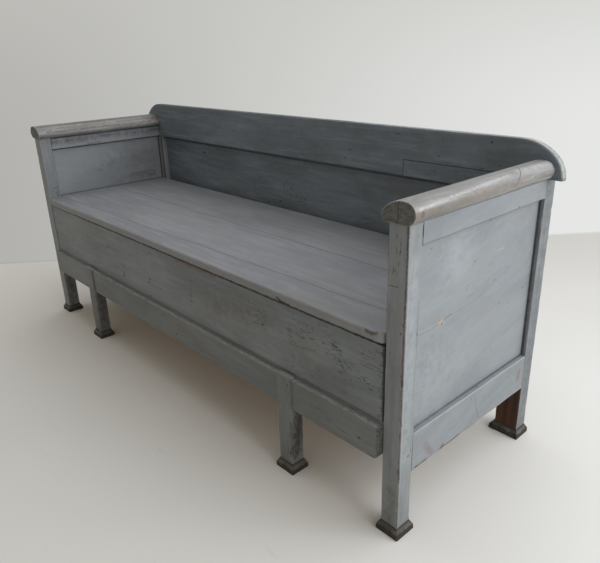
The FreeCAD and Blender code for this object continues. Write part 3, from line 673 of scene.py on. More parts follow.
def foot_wood(name):
    """Feet: scuffed paint on the slope, dark bare wood round the base."""
    n, grain, edge = board_nodes(name)
    fibre = n.noise(grain, (12, 160, 160), 4, 0.65)
    patch = n.noise(grain, (30, 40, 40), 4, 0.65)
    wood = n.mix(n.step(patch, 0.35, 0.65), (15, 11, 8), (44, 35, 28))
    wood = n.mix(n.times(n.step(fibre, 0.52, 0.68), 0.4), wood, (104, 90, 76))
    coat = n.mix(n.step(patch, 0.35, 0.68), (52, 49, 42), (94, 90, 81))
    level = n.times_plus(n.minus(patch, 0.5), 12 * MM, n.height())
    ragged = n.times(n.ragged(grain, (120, 160, 160), 4), 7 * MM)
    rub = n.step(n.plus(edge, ragged), 1.6 * MM, 0.2 * MM)
    bare = n.most(n.step(level, 15.5 * MM, 13 * MM), n.times(rub, 0.6))
    colour = n.mix(bare, coat, wood)
    # A dark line where the post stands on the block, and the base darker towards the floor.
    colour = n.mix(n.times(n.step(level, 20.5 * MM, 23.5 * MM), 0.8), colour, (34, 31, 28))
    colour = n.mix(n.times(n.step(level, 5 * MM, 0.0), 0.7), colour, (30, 22, 16))
    height = n.minus(n.plus(fibre, n.times(patch, 0.6)), n.times(bare, 0.4))
    return n.surface(colour, n.step(patch, 0.2, 0.8, (0.6, 0.86)), n.bump(height, 0.6, 1.2 * MM))


def iron_metal(name):
    """Old iron: dark scale with rust bloom."""
    n = Nodes(bpy.data.materials.new(name))
    rust = n.noise(n.where, (420, 420, 420), 4, 0.7)
    fine = n.noise(n.where, (1500, 1500, 1500), 3, 0.6)
    colour = n.mix(n.step(rust, 0.42, 0.62), (52, 50, 50), (98, 60, 38))
    metal = n.step(rust, 0.6, 0.42, (0.1, 0.85))
    height = n.plus(rust, n.times(fine, 0.4))
    return n.surface(colour, n.step(fine, 0.3, 0.7, (0.5, 0.78)), n.bump(height, 0.5, 0.3 * MM), metal)


def peg_paint(name, dark, light):
    """Peg ends and nail heads painted over with the rest."""
    n = Nodes(bpy.data.materials.new(name))
    fine = n.noise(n.where, (700, 700, 700), 4, 0.65)
    patch = n.noise(n.where, (90, 90, 90), 3, 0.6)
    colour = n.mix(n.step(fine, 0.4, 0.66), dark, light)
    colour = n.mix(n.times(n.step(patch, 0.5, 0.66), 0.5), colour, (84, 78, 72))
    return n.surface(colour, n.step(fine, 0.2, 0.8, (0.55, 0.8)), n.bump(fine, 0.5, 0.5 * MM))


# Marks and flecks, in mm. Each has a path, a width and its look: for a mark its colour and
# strength, dark where none is given, and for flecks their amount.


def face(node, axis, side):
    """The plane of a CAD node's low (0) or high (1) face: its axis and level."""
    return AXES[axis], round(float(node_box(node)[side][AXES[axis]]), 2)


def on(plane, *rows):
    """Marks or flecks on one plane, whose points are given by their two other coordinates."""
    k, level = plane
    return [([(*p[:k], level, *p[k:]) for p in path], *look) for path, *look in rows]


LID_TOP = face("lid_front_board", "z", 1)
FRONT = face("pullout_front_board", "y", 0)
RAIL = face("pullout_rail", "y", 0)
POST_FRONT = face("right_front_post", "y", 0)
OUTSIDE = face("right_front_post", "x", 1)
INSIDE = face("left_front_post", "x", 1)
PANEL_OUTSIDE = face("right_lower_end_board", "x", 1)
PANEL_INSIDE = face("left_lower_end_board", "x", 1)
BACK = face("back_board", "y", 0)
CREST = face("crest_board", "y", 0)

LID_MARKS = [
    ([(-852, -279, 477), (852, -279, 477)], 13, (122, 119, 112), 0.5),
    *on(LID_TOP,
        ([(-852, -228), (0, -205)], 1.6, SEAM, 0.75), ([(0, -205), (852, -182)], 1.6, SEAM, 0.8),
        ([(-852, 9), (852, 9)], 1.8, SEAM, 0.9),
    ),
    # Painted shade in the gap under the lid's nose, thinner at its left part.
    ([(-600, -278, 465.6), (852, -278, 465.6)], 5.6, NOSE_GAP_SHADE, 1.0),
    ([(-852, -278, 466), (-600, -278, 466)], 3.4, (70, 54, 46), 0.85),
    ([(310, -278, 468)], 5.5, (40, 30, 24), 0.95), ([(316, -270, 459)], 5, DARK, 0.9),
    ([(-599, -279, 470)], 5, DARK, 0.9),
    ([(530, -279, 476), (545, -279, 471), (562, -279, 469), (574, -279, 470)], 3.0, (34, 24, 19), 0.95),
    ([(806, -276, 484), (822, -277, 483), (834, -274, 485)], 5, (74, 60, 51), 0.85),
    *on(LID_TOP,
        ([(549, -217)], 3.5, (92, 93, 94), 0.85), ([(-509, -41)], 4, (84, 82, 78), 0.85),
        ([(557, -131)], 75, (128, 121, 113), 0.5), ([(694, -165)], 60, (128, 121, 113), 0.5),
        ([(-200, -80)], 90, (128, 123, 116), 0.35), ([(200, 60)], 90, (112, 109, 104), 0.4),
        ([(-700, 180), (500, 190)], 45, (108, 109, 108), 0.4),
        ([(846, -240), (846, 235)], 5, (84, 84, 84), 0.5),
    ),
]
FRONT_MARKS = on(
    FRONT,
    ([(704, 412), (711, 409), (719, 409)], 2.8, DARK, 0.9), ([(722, 383), (728, 378)], 2.4),
    ([(732, 371), (737, 365)], 2.6, DARK, 0.9), ([(794, 366), (800, 360)], 2.2), ([(760, 345)], 2.6),
    ([(533, 360), (590, 364), (646, 374)], 2.4, (90, 86, 80), 0.5),
    ([(250, 372), (470, 400)], 90, (94, 88, 79), 0.75), ([(607, 374)], 75, (96, 90, 82), 0.55),
    ([(150, 400)], 90, (104, 101, 94), 0.45), ([(380, 300)], 60, (98, 94, 86), 0.4),
    ([(760, 400)], 80, (120, 126, 130), 0.4), ([(560, 325), (740, 325)], 70, (86, 87, 84), 0.5),
    ([(-600, 400)], 110, (112, 112, 104), 0.35), ([(850, 458), (851, 286)], 5, (24, 21, 19), 0.95),
    # The second mark is painted shade along the board's top, under the lid's nose.
    ([(60, 457), (260, 455)], 9, (104, 78, 66), 0.75), ([(-852, 462.5), (852, 462.5)], 5.6, NOSE_GAP_SHADE, 0.95),
    # Painted shade: a dark line along the joint above the rail's ledge. Painted light: a broad lighter spot
    # over the board's left part.
    ([(-852, 281), (852, 281)], 1.8, (58, 59, 57), 0.7), ([(-700, 370)], 240, (134, 138, 138), 0.55),
    ([(-594, 317)], 3.5), ([(-638, 342)], 3), ([(-289, 310), (-287, 318), (-288, 326)], 3.4, DARK, 0.8),
    ([(-279, 346)], 4, DARK, 0.6), ([(-469, 323)], 4, DARK, 0.5), ([(-46, 330)], 3.5),
    ([(-180, 418)], 3.5), ([(-135, 421)], 3.5), ([(-89, 439)], 3.5), ([(-700, 380)], 3, DARK, 0.6),
    ([(-848, 351), (-838, 338), (-833, 333)], 2.2, DARK, 0.6),
)
FRONT_FLECKS = on(
    FRONT,
    ([(400, 375), (455, 396)], 36, 0.8), ([(572, 392), (628, 412)], 42, 0.8),
    ([(700, 405), (745, 365)], 40, 0.8), ([(785, 368), (806, 352)], 22, 0.8),
    ([(805, 418), (848, 402)], 34, 0.8), ([(848, 295), (848, 455)], 9, 1.0),
    ([(128, 335), (134, 376)], 11, 0.95), ([(-291, 308), (-283, 350)], 8, 0.9),
    ([(500, 420), (690, 430)], 30, 0.6), ([(640, 330), (760, 320)], 34, 0.5),
    ([(-500, 400), (-100, 410)], 45, 0.45), ([(200, 430), (420, 440)], 20, 0.6),
)
RAIL_MARKS = [
    *on(RAIL,
        ([(577, 280), (578.5, 240), (577, 192)], 1.5), ([(529, 280), (529, 192)], 1.1, DARK, 0.4),
        ([(-518, 281), (-516, 240), (-517, 192)], 2, DARK, 0.9),
        ([(-565, 281), (-565, 192)], 1, DARK, 0.3),
    ),
    ([(577, -272, 55), (577, -260, 160)], 20, (36, 31, 26), 0.9),
    ([(-517, -272, 40), (-517, -268, 170)], 36, (52, 41, 31), 0.9),
    ([(850, -290, 240)], 7, (84, 72, 60), 0.6),
    ([(640, -289, 279), (720, -289, 279)], 4, (158, 153, 142), 0.5),
    # Painted light on the ledge's top, which the board and the lid above shade; its edge is also worn pale.
    ([(-852, -281, 280), (852, -281, 280)], 9.5, (152, 154, 149), 0.95),
    ([(716, -289, 277), (745, -290, 275), (790, -289, 275), (852, -290, 272)], 2.2, (52, 46, 40), 0.75),
    *on(RAIL, ([(-156, 207)], 4), ([(-852, 193), (852, 193)], 2.4, (118, 112, 98), 0.45)),
    ([(852, -279, 193), (852, -279, 278)], 9, (60, 60, 56), 0.8),
    *on(RAIL,
        ([(851, 276), (850, 208), (842, 195), (812, 191)], 6, (46, 41, 35), 0.9),
        # Painted light: the rail's left part lighter.
        ([(-852, 235), (-560, 235)], 60, (126, 128, 126), 0.6),
        ([(577, 60), (577, 150)], 8, (60, 50, 42), 0.6), ([(553, 60)], 34, (92, 86, 74), 0.5),
        ([(-541, 60)], 34, (92, 86, 74), 0.4),
    ),
]
RAIL_FLECKS = [
    ([(577, -278, 50), (577, -262, 186)], 20, 1.25),
    *on(RAIL,
        ([(850, 196), (850, 275)], 11, 0.9), ([(700, 274), (852, 272)], 7, 0.9),
        ([(640, 194), (852, 194)], 5, 0.9), ([(60, 250), (200, 236)], 20, 0.6),
    ),
    ([(-517, -272, 40), (-517, -268, 120)], 16, 0.7),
    *on(RAIL, ([(553, 40), (553, 120)], 16, 0.6), ([(-100, 200), (500, 200)], 8, 0.5)),
]
POST_MARKS = [
    *on(POST_FRONT,
        ([(900, 716), (900.5, 640), (900, 560)], 4.6, (46, 36, 31), 0.9),
        ([(900, 560), (899.5, 470), (900, 390)], 4.5, (72, 35, 28), 0.9),
        ([(900, 390), (900.5, 300), (900, 150)], 3.6, (78, 53, 44), 0.85),
        ([(900, 30), (900, 150)], 2.0, (66, 46, 36), 0.8),
        ([(877, 120), (877, 420)], 24, (102, 104, 103), 0.5), ([(854, 300), (854, 716)], 2.6),
        ([(856, 596), (880, 597.5)], 1.2, DARK, 0.8), ([(866, 622), (869, 634)], 1.2, DARK, 0.75),
        ([(875, 676), (874, 664)], 1.2, DARK, 0.75), ([(861, 560), (860, 500)], 1.0, DARK, 0.5),
        ([(884, 690), (883, 668)], 1.0, DARK, 0.6), ([(883, 668)], 2.4), ([(891, 504)], 2.6),
    ),
    *on(OUTSIDE,
        ([(-256, 607)], 3), ([(-236, 218)], 3.6), ([(-232, 492)], 4.5, (96, 74, 56), 0.85),
        ([(-257, 640), (-254, 560), (-251, 444), (-252, 250)], 1.3, (100, 102, 106), 0.65),
        ([(-230, 560), (-232, 500), (-231, 436), (-236, 360)], 1.5, (72, 72, 74), 0.6),
        ([(-243, 700), (-246, 440), (-250, 60)], 1.1, (104, 106, 110), 0.5),
        ([(-264, 600), (-266, 100)], 1.6, (150, 156, 160), 0.5),
        ([(-250, 200), (-250, 640)], 34, (150, 156, 159), 0.75),
    ),
    # Painted shade in the recess where the right end panel meets the rear post.
    ([(888, 246, 258), (888, 246, 672)], 5.5, (48, 48, 54), 0.9),
    ([(900, 268, 30), (900, 268, 716)], 46, (88, 92, 95), 0.9),
    # Painted light: the left front post's front face lighter.
    ([(-877, -272, 100), (-877, -272, 716)], 30, (136, 136, 134), 0.6),
    *on(INSIDE,
        ([(-247, 526)], 3), ([(-244, 510)], 2.6),
        ([(-237, 507), (-241, 501), (-236, 496)], 3, (66, 60, 54), 0.7),
    ),
    ([(-846, 246, 490), (-846, 246, 674)], 5, (56, 50, 46), 0.85),
    ([(-835, 246, 492), (-835, 246, 715)], 2.4, (132, 132, 130), 0.6),
    ([(-854, -250, 40), (-854, -250, 150)], 40, (66, 54, 44), 0.85),
    ([(877, -272, 30), (877, -272, 110)], 34, (80, 74, 64), 0.7),
    ([(-854, -230, 716), (-854, -228, 600), (-854, -231, 500)], 2.2, (86, 70, 62), 0.6),
    ([(-900, -272, 60), (-900, -272, 700)], 2, (90, 80, 72), 0.5),
    *on(OUTSIDE,
        ([(272, 660), (268, 540)], 1.4, (108, 110, 112), 0.5), ([(284, 236)], 6, (96, 88, 82), 0.7),
        ([(246, 156), (246, 255)], 2.2, (64, 62, 60), 0.8),
    ),
]
POST_FLECKS = [
    ([(878, -272, 610), (876, -272, 690)], 20, 0.6), ([(900, -262, 150), (900, -262, 700)], 10, 0.45),
    ([(898, -272, 160), (898, -272, 640)], 5, 0.8),
    *on(INSIDE, ([(-240, 495), (-236, 540)], 8, 0.8), ([(-250, 40), (-250, 140)], 18, 0.7)),
]
END_MARKS = [
    *on(PANEL_OUTSIDE,
        ([(-131, 481)], 9.5, (176, 142, 108), 0.8), ([(-136, 486)], 5, (140, 112, 90), 0.7),
        ([(-128, 474)], 3.2, (40, 26, 18), 1.0),
        ([(-122, 480), (-108, 483), (-91, 484)], 2, (140, 104, 74), 0.85),
        ([(-118, 479), (-106, 483), (-96, 485)], 1, (60, 44, 34), 0.8),
        ([(-207, 474), (-170, 474), (-138, 477)], 1.2, (88, 88, 88), 0.7),
        ([(-91, 484), (-60, 485), (-30, 484)], 1, (104, 104, 104), 0.6),
        ([(-46, 532), (-42, 524), (-38, 528), (-40, 536)], 1.3, (84, 86, 86), 0.75),
        ([(-42, 529)], 3, (150, 155, 158), 0.8), ([(107, 447)], 3, (76, 74, 70), 0.85),
        ([(215, 455)], 3.4, (66, 64, 62), 0.85), ([(108, 493)], 2.2, (92, 90, 88), 0.85),
        ([(-22, 586), (-17, 582), (-12, 585)], 2.2, (96, 96, 94), 0.7),
        ([(32, 665)], 3, (96, 96, 94), 0.85), ([(-179, 344)], 3, (70, 66, 62), 0.85),
        ([(78, 584), (90, 586), (104, 585)], 1.6, (186, 190, 192), 0.4),
    ),
    *on(OUTSIDE,
        ([(125, 677)], 3.6, (44, 38, 34), 0.85), ([(-228, 718), (-228, 690)], 2.2, (34, 31, 28), 0.95),
        ([(-228, 690), (-228, 676)], 1.6, (80, 80, 80), 0.7),
    ),
    # Dark joints along the right panel's top and bottom, deepened with painted shade where the panel sits
    # back from its rails.
    ([(886, -228, 674), (886, 246, 674)], 2.6, (72, 74, 75), 0.8),
    ([(886.5, -228, 255.5), (886.5, 246, 255.5)], 3.6, (80, 82, 84), 0.8),
    *on(OUTSIDE,
        ([(-228, 675), (240, 675)], 1.4, (100, 98, 96), 0.6),
        ([(12, 238), (20, 205), (37, 166)], 1.5, (96, 96, 96), 0.75),
        ([(-4, 239)], 2.6, (66, 62, 58), 0.85),
        ([(-214, 160), (-200, 158), (-178, 160)], 5.5, (76, 54, 46), 0.95),
        ([(-115, 163)], 10, (84, 60, 52), 0.9), ([(-128, 158), (-50, 160)], 5, (86, 62, 55), 0.95),
        ([(-60, 160), (20, 160)], 2.5, (110, 92, 88), 0.6),
        ([(-182, 204), (-170, 184), (-156, 170)], 12, (116, 104, 106), 0.75),
        ([(221, 213)], 25, (128, 112, 110), 0.8), ([(214, 220), (216, 196)], 5.9, (120, 107, 103), 0.85),
        ([(223, 224), (222, 200)], 5.9, (120, 107, 103), 0.9),
        # A painted highlight along the top edge of the right bottom rail.
        ([(-220, 254), (240, 254)], 2.2, (160, 162, 162), 0.4),
    ),
    *on(PANEL_INSIDE,
        # Painted shade: the left panel's inner face darker towards the back.
        ([(100, 600), (200, 580)], 70, (84, 84, 80), 0.55),
        ([(100, 520), (200, 514)], 22, (80, 74, 62), 0.9),
        ([(96, 524), (140, 529), (180, 530), (206, 527), (214, 507)], 1.7, (52, 47, 41), 0.75),
        ([(92, 524), (97, 512), (93, 500)], 1.7, (60, 55, 48), 0.6),
    ),
    ([(-854, -80, 679), (-854, -30, 681)], 4, (108, 76, 66), 0.7),
    *on(PANEL_INSIDE,
        # The second mark is a dark joint under the left top rail, deepened with painted shade where the
        # panel sits back.
        ([(-2, 583)], 26, (88, 88, 86), 0.6), ([(-228, 674), (246, 674)], 5.8, (40, 33, 31), 0.95),
    ),
    ([(-854, -228, 675), (-854, 246, 675)], 2.2, (78, 66, 60), 0.8),
    *on(PANEL_INSIDE,
        # Painted shade in the gap where the left panel meets the rear post.
        ([(244, 492), (244, 674)], 5.8, (40, 40, 40), 0.9),
        ([(-226, 492), (-226, 674)], 2.4, (84, 76, 72), 0.7),
    ),
    ([(-854, -228, 690), (-854, -228, 718)], 1.8, (84, 82, 80), 0.8),
    ([(-868, -226, 491), (-868, 244, 491)], 3, (60, 60, 60), 0.7),
    *on(PANEL_OUTSIDE,
        ([(-150, 360)], 230, (150, 155, 158), 0.6), ([(200, 600)], 170, (112, 116, 119), 0.7),
        ([(-90, 610)], 120, (158, 162, 165), 0.55),
    ),
    *on(INSIDE,
        # Painted shade: the left top rail's inner face darker, with a dark line under the roll.
        ([(-228, 703), (246, 703)], 26, (58, 55, 55), 0.9),
        ([(-228, 718), (246, 718)], 5.8, (40, 34, 31), 0.9),
    ),
    # Painted shade over the left end's inner side.
    ([(-868, 60, 580)], 270, (103, 105, 109), 0.75),
]
END_FLECKS = [
    ([(900, -225, 160), (900, -40, 160)], 4, 0.7), ([(886, -20, 583), (886, -10, 590)], 10, 0.7),
    ([(-868, -30, 570), (-868, 40, 590)], 24, 0.65), ([(900, -215, 240), (900, -100, 243)], 14, 0.4),
]
BACK_MARKS = [
    *on(BACK,
        ([(-550, 632), (-543, 631), (-537, 629)], 4, (42, 42, 42), 0.85),
        ([(318, 506), (340, 509), (367, 516)], 1.4, (140, 142, 142), 0.5),
        ([(53, 533)], 8, (58, 60, 60), 0.6), ([(-18, 557)], 10, (60, 62, 62), 0.6),
    ),
    *on(CREST,
        ([(600, 742)], 4, (60, 60, 60), 0.7), ([(484, 676), (484, 719)], 1.8, (44, 46, 46), 0.9),
        ([(484, 720), (784, 720)], 1.5, (50, 52, 52), 0.85), ([(300, 760)], 70, (86, 90, 92), 0.4),
    ),
    *on(BACK, ([(-300, 600)], 90, (90, 94, 96), 0.4), ([(500, 600)], 80, (88, 90, 90), 0.4)),
    ([(760, 241, 770)], 130, (72, 77, 80), 0.5), ([(700, 263, 570)], 170, (74, 79, 81), 0.55),
    ([(-836, 252, 808), (300, 252, 808)], 12, (66, 67, 66), 0.9),
    ([(300, 252, 808), (830, 252, 808)], 7, (164, 160, 150), 0.75),
    # Painted shade on the back board under the crest's lower edge.
    ([(-833, 263, 665), (833, 263, 665)], 4, (34, 38, 40), 0.75),
    ([(830, 252, 807), (865, 252, 799), (882, 252, 791), (899, 252, 778), (917, 252, 762),
        (929, 252, 744), (935, 252, 724)], 10, (176, 171, 158), 0.8),
]
BACK_FLECKS = [
    *on(BACK,
        ([(-40, 565), (30, 530)], 55, 0.8), ([(-310, 545), (-250, 548)], 60, 0.6),
        ([(150, 545), (330, 510)], 45, 0.66),
    ),
    *on(CREST,
        ([(284, 722), (292, 702)], 14, 0.9), ([(500, 690), (800, 740)], 24, 0.6),
        ([(-480, 700), (-420, 760)], 24, 0.6),
    ),
    ([(330, 263, 500), (360, 263, 512)], 12, 0.9),
]
ARM_MARKS = [
    ([(916, -272, 741), (916, 60, 739)], 10, (112, 102, 92), 0.7),
    ([(914, -140, 749), (913, 40, 749)], 6, (118, 108, 98), 0.6),
    # A painted highlight along the top of the right roll, where the paint is also worn whitish.
    ([(900, 100, 762), (905, 236, 758)], 20, (170, 171, 172), 0.6),
    ([(879, 124, 764.4), (889, 118, 765), (900, 108, 763.5), (910.6, 94, 757.8), (916.3, 78, 747.8),
        (916, 68, 734.5)], 2.0, (72, 54, 46), 0.8),
    ([(884, 60, 765), (902, 54, 760), (916, 44, 744)], 1.1, (100, 84, 78), 0.5),
    # More painted highlight along the roll's top, on paint worn whitish.
    ([(912, -262, 750), (909, -120, 754), (904, 60, 758)], 6, (184, 182, 180), 0.6),
    ([(917, -272, 724), (917, 238, 724)], 2.6, (84, 60, 52), 0.8),
    ([(900, -268, 758)], 5, (108, 80, 64), 0.7), ([(915, -255, 741)], 9, (92, 70, 58), 0.8),
    ([(890, -250, 764), (892, 230, 764)], 6, (112, 106, 100), 0.5),
    ([(893, -240, 763), (893, 60, 763)], 30, (122, 119, 117), 0.45),
    ([(-846, -260, 757), (-846, 200, 757)], 8, (88, 82, 76), 0.7),
    ([(-838, -240, 742), (-838, 200, 742)], 6, (74, 68, 62), 0.7),
    ([(-870, -240, 765), (-870, 230, 765)], 9, (96, 90, 86), 0.6),
    # Painted shade: the left roll darker.
    ([(-872, -276, 762), (-872, 240, 762)], 46, (84, 82, 78), 0.8),
    ([(-856, 190, 762), (-844, 236, 750)], 24, (84, 68, 52), 0.9),
    ([(-850, 60, 760)], 8, (62, 56, 52), 0.7), ([(-852, -120, 760)], 7, (70, 64, 60), 0.6),
    ([(-837, -272, 726), (-837, 238, 726)], 3, (60, 52, 48), 0.8),
]
ARM_FLECKS = [
    ([(914, -260, 744), (914, 230, 742)], 12, 0.6), ([(-842, -250, 752), (-842, 220, 752)], 16, 0.65),
]

PAINT = {
    "lid": dict(
        tones=((113, 115, 118), (124, 126, 129), (142, 144, 146)), stain=(124, 120, 113), stains=0.4,
        scratches=0.35, specks=0.25, scratch=(78, 78, 78), wear=0.4, rim=0.2, streak=0.5, gloss=0.6,
        marks=LID_MARKS,
    ),
    "front": dict(
        tones=((102, 108, 111), (119, 124, 125), (140, 144, 144)), stain=(110, 107, 98), stains=0.45,
        scratches=1.0, specks=1.0, wear=1.4, marks=FRONT_MARKS, flecks=FRONT_FLECKS,
    ),
    "rail": dict(
        tones=((95, 98, 98), (108, 111, 111), (124, 126, 124)), stain=(102, 97, 86), stains=0.45,
        scratches=1.0, specks=1.1, wear=1.8, marks=RAIL_MARKS, flecks=RAIL_FLECKS,
    ),
    "post": dict(
        tones=((112, 116, 118), (124, 128, 129), (144, 147, 148)), scratches=0.6, worn=(80, 50, 42),
        wear=1.4, marks=POST_MARKS, flecks=POST_FLECKS,
    ),
    "end": dict(
        tones=((118, 123, 126), (130, 134, 137), (144, 148, 150)), stain=(134, 128, 125), stains=0.25,
        scratches=0.2, specks=0.35, worn=(88, 66, 58), wear=1.8, streak=0.25, slant=-0.2,
        marks=END_MARKS, flecks=END_FLECKS,
    ),
    "back": dict(
        tones=((88, 96, 102), (104, 112, 119), (125, 134, 142)), stain=(82, 83, 82), stains=0.5,
        scratches=1.0, specks=1.4, streak=0.5, wear=0.8, rim=0.15, marks=BACK_MARKS, flecks=BACK_FLECKS,
    ),
    "arm": dict(
        tones=((110, 108, 105), (130, 129, 126), (158, 157, 154)), stain=(112, 104, 96), stains=0.55,
        scratches=0.8, specks=0.6, scratch=(70, 60, 54), wear=1.8, streak=0.75, gloss=0.75,
        marks=ARM_MARKS, flecks=ARM_FLECKS,
    ),
}
MARK_REACH = 2
PLAIN = {}


def painted(key, lo, hi):
    """The paint of one piece, with the marks and flecks that touch its box."""
    settings = dict(PAINT[key])
    lo, hi = np.asarray(lo, float), np.asarray(hi, float)
    for kind in ("marks", "flecks"):
        near = []
        for mark in settings.get(kind, ()):
            path, reach = np.array(mark[0], float), mark[1] + MARK_REACH
            if (path.min(axis=0) - reach < hi).all() and (path.max(axis=0) + reach > lo).all():
                near.append(mark)
        settings[kind] = near
    if settings["marks"] or settings["flecks"]:
        return paint(f"paint_{key}", **settings)
    if key not in PLAIN:
        PLAIN[key] = paint(f"paint_{key}", **settings)
    return PLAIN[key]


END_SPLITS = on(
    (AXES["y"], -276),
    ([(879, 764), (877, 750), (878, 736), (875, 722)], 1.3, (30, 28, 24), 0.8),
    ([(862, 744), (852, 738), (844, 731)], 1.0, (36, 34, 30), 0.6),
)
END_GRAIN = end_grain("paint_end_grain", (70, 70, 65), (102, 102, 97), marks=END_SPLITS)
BARE = bare_wood("aged_pine", (120, 88, 58), (168, 134, 96), (196, 168, 130))
DUSTY = bare_wood("dusty_pine", (52, 46, 39), (80, 72, 60), (102, 94, 80), knots=False)
BROWN_WOOD = bare_wood("stained_pine", (33, 14, 1), (47, 21, 2), (72, 38, 8), knots=False)
FOOT = foot_wood("foot_wood")
IRON = iron_metal("old_iron")
PEGS = peg_paint("peg_paint", (110, 113, 114), (130, 134, 135))
NAILS = peg_paint("nail_paint", (92, 94, 92), (116, 120, 119))


# The stage: camera, floor, wall line, lamps and world. Places are in metres, the lens in mm.

scene = bpy.context.scene
scene.render.resolution_x, scene.render.resolution_y = 600, 563
scene.view_settings.view_transform = "Standard"

EYE = (1.5252, -1.10147, 1.02591)
YAW, PITCH, ROLL = 0.83659, -0.3777, -0.03002
SENSOR_WIDTH, FOCAL_LENGTH = 36.0, 35.771
UP = Vector((0, 0, 1))
BACKDROP = (214, 213, 209)
WALL_A, WALL_B = Vector((-1.729, -0.284, 0)), Vector((0.291, 2.286, 0))
ALONG_WALL = (WALL_B - WALL_A).normalized()
FROM_WALL = ALONG_WALL.cross(UP)
WALL_PAST, WALL_HIGH = 1.4, 2.4
FLOOR_HALF = 9
FLOOR_FADE = (1.7, 2.8)


def aim_camera():
    """The camera, turned by yaw and pitch and then rolled about its own view line."""
    flat = math.cos(PITCH)
    forward = Vector((-math.sin(YAW) * flat, math.cos(YAW) * flat, math.sin(PITCH)))
    right = forward.cross(UP).normalized()
    up = right.cross(forward)
    side = math.cos(ROLL) * right + math.sin(ROLL) * up
    over = -math.sin(ROLL) * right + math.cos(ROLL) * up
    lens = bpy.data.cameras.new("camera")
    lens.sensor_fit, lens.sensor_width, lens.lens = "HORIZONTAL", SENSOR_WIDTH, FOCAL_LENGTH
    lens.clip_start, lens.clip_end = 0.05, 100
    camera = bpy.data.objects.new("camera", lens)
    turn = Matrix((side, over, -forward)).transposed().to_4x4()
    camera.matrix_world = Matrix.Translation(EYE) @ turn
    scene.collection.objects.link(camera)
    scene.camera = camera


def stage_sheet(name, corners, material):
    mesh = bpy.data.meshes.new(name)
    mesh.from_pydata([tuple(c) for c in corners], [], [tuple(range(len(corners)))])
    mesh.materials.append(material)
    o = bpy.data.objects.new(name, mesh)
    scene.collection.objects.link(o)


def along(n, way):
    """How far a point is from the wall's first corner, along a way."""
    out = n.vector("SUBTRACT", n.where, tuple(WALL_A))
    return n.vector("DOT_PRODUCT", out, tuple(way), value=True)


def seen(n):
    """1 on rays from the camera and on mirrored or refracted ones, 0 on rays that only carry light."""
    kinds = ("Camera", "Glossy", "Transmission")
    camera, glossy, clear = (n.node("LightPath", output=f"Is {kind} Ray") for kind in kinds)
    return n.most(camera, n.most(glossy, clear))


def wall_tone(n):
    """The pale wall: darker at the left, lighter towards the window at the right."""
    tone = n.mix(n.step(along(n, ALONG_WALL), -0.2, 3.3), (177, 176, 172), (230, 231, 229))
    tone = n.mix(n.step(n.height(), 0.6, 1.9), tone, (197, 196, 191))
    return n.mix(n.times(n.step(n.height(), 0.012, 0.004), 0.25), tone, (150, 149, 146))


def wall_material():
    """The wall shows on its front alone and fades out past the ends and the top."""
    n = Nodes(bpy.data.materials.new("stage_wall"))
    across = along(n, ALONG_WALL)
    ends = n.times(n.step(across, -1.2, -0.3), n.step(across, 4.6, 3.6))
    solid = n.times(ends, n.step(n.height(), WALL_HIGH, 1.4))
    front = n.minus(1.0, n.node("NewGeometry", output="Backfacing"))
    shown = n.times(seen(n), n.times(front, solid))
    return n.blend(shown, n.shader("BsdfTransparent"), n.shader("Emission", Color=wall_tone(n)))


def floor_material():
    """A pale floor, which passes into the backdrop's own colour far off."""
    n = Nodes(bpy.data.materials.new("stage_floor"))
    colour = n.mix(n.step(n.noise(n.where, (1.1, 1.1, 1.1), 2), 0.2, 0.8), (208, 206, 200), (214, 212, 207))
    scuff = n.noise(n.where, (9, 60, 9), 4, 0.7, 1.5)
    colour = n.mix(n.times(n.step(scuff, 0.62, 0.75), 0.25), colour, (188, 185, 178))
    # Painted light: the floor lighter in the far left corner, by the wall.
    corner = n.times(n.step(along(n, FROM_WALL), 1.5, 0.2), n.step(along(n, ALONG_WALL), 1.2, 0.2))
    colour = n.mix(corner, colour, (229, 227, 222))
    dust = n.noise(n.where, (34, 34, 34), 4, 0.7)
    colour = n.mix(n.times(n.step(dust, 0.7, 0.76), 0.5), colour, (168, 164, 156))
    far = n.step(n.vector("LENGTH", n.where, value=True), *FLOOR_FADE)
    near = n.shader("BsdfPrincipled", Base_Color=colour, Roughness=0.9)
    return n.blend(n.times(far, seen(n)), near, n.shader("Emission", Color=BACKDROP))


def lamp(name, place, target, wide, high, watts, colour):
    data = bpy.data.lights.new(name, "AREA")
    data.shape, data.size, data.size_y, data.energy = "RECTANGLE", wide, high, watts
    data.color = colour
    o = bpy.data.objects.new(name, data)
    o.location = place
    o.rotation_euler = (Vector(target) - Vector(place)).to_track_quat("-Z", "Y").to_euler()
    o.visible_camera = False
    scene.collection.objects.link(o)


def light_world():
    """The world lights the room softly; where it is seen it is the plain backdrop."""
    scene.world = bpy.data.worlds.new("studio")
    n = Nodes(scene.world, "OutputWorld")
    light = n.shader("Background", Color=(1.0, 0.93, 0.83, 1), Strength=0.42)
    n.blend(seen(n), light, n.shader("Background", Color=BACKDROP, Strength=1.0))


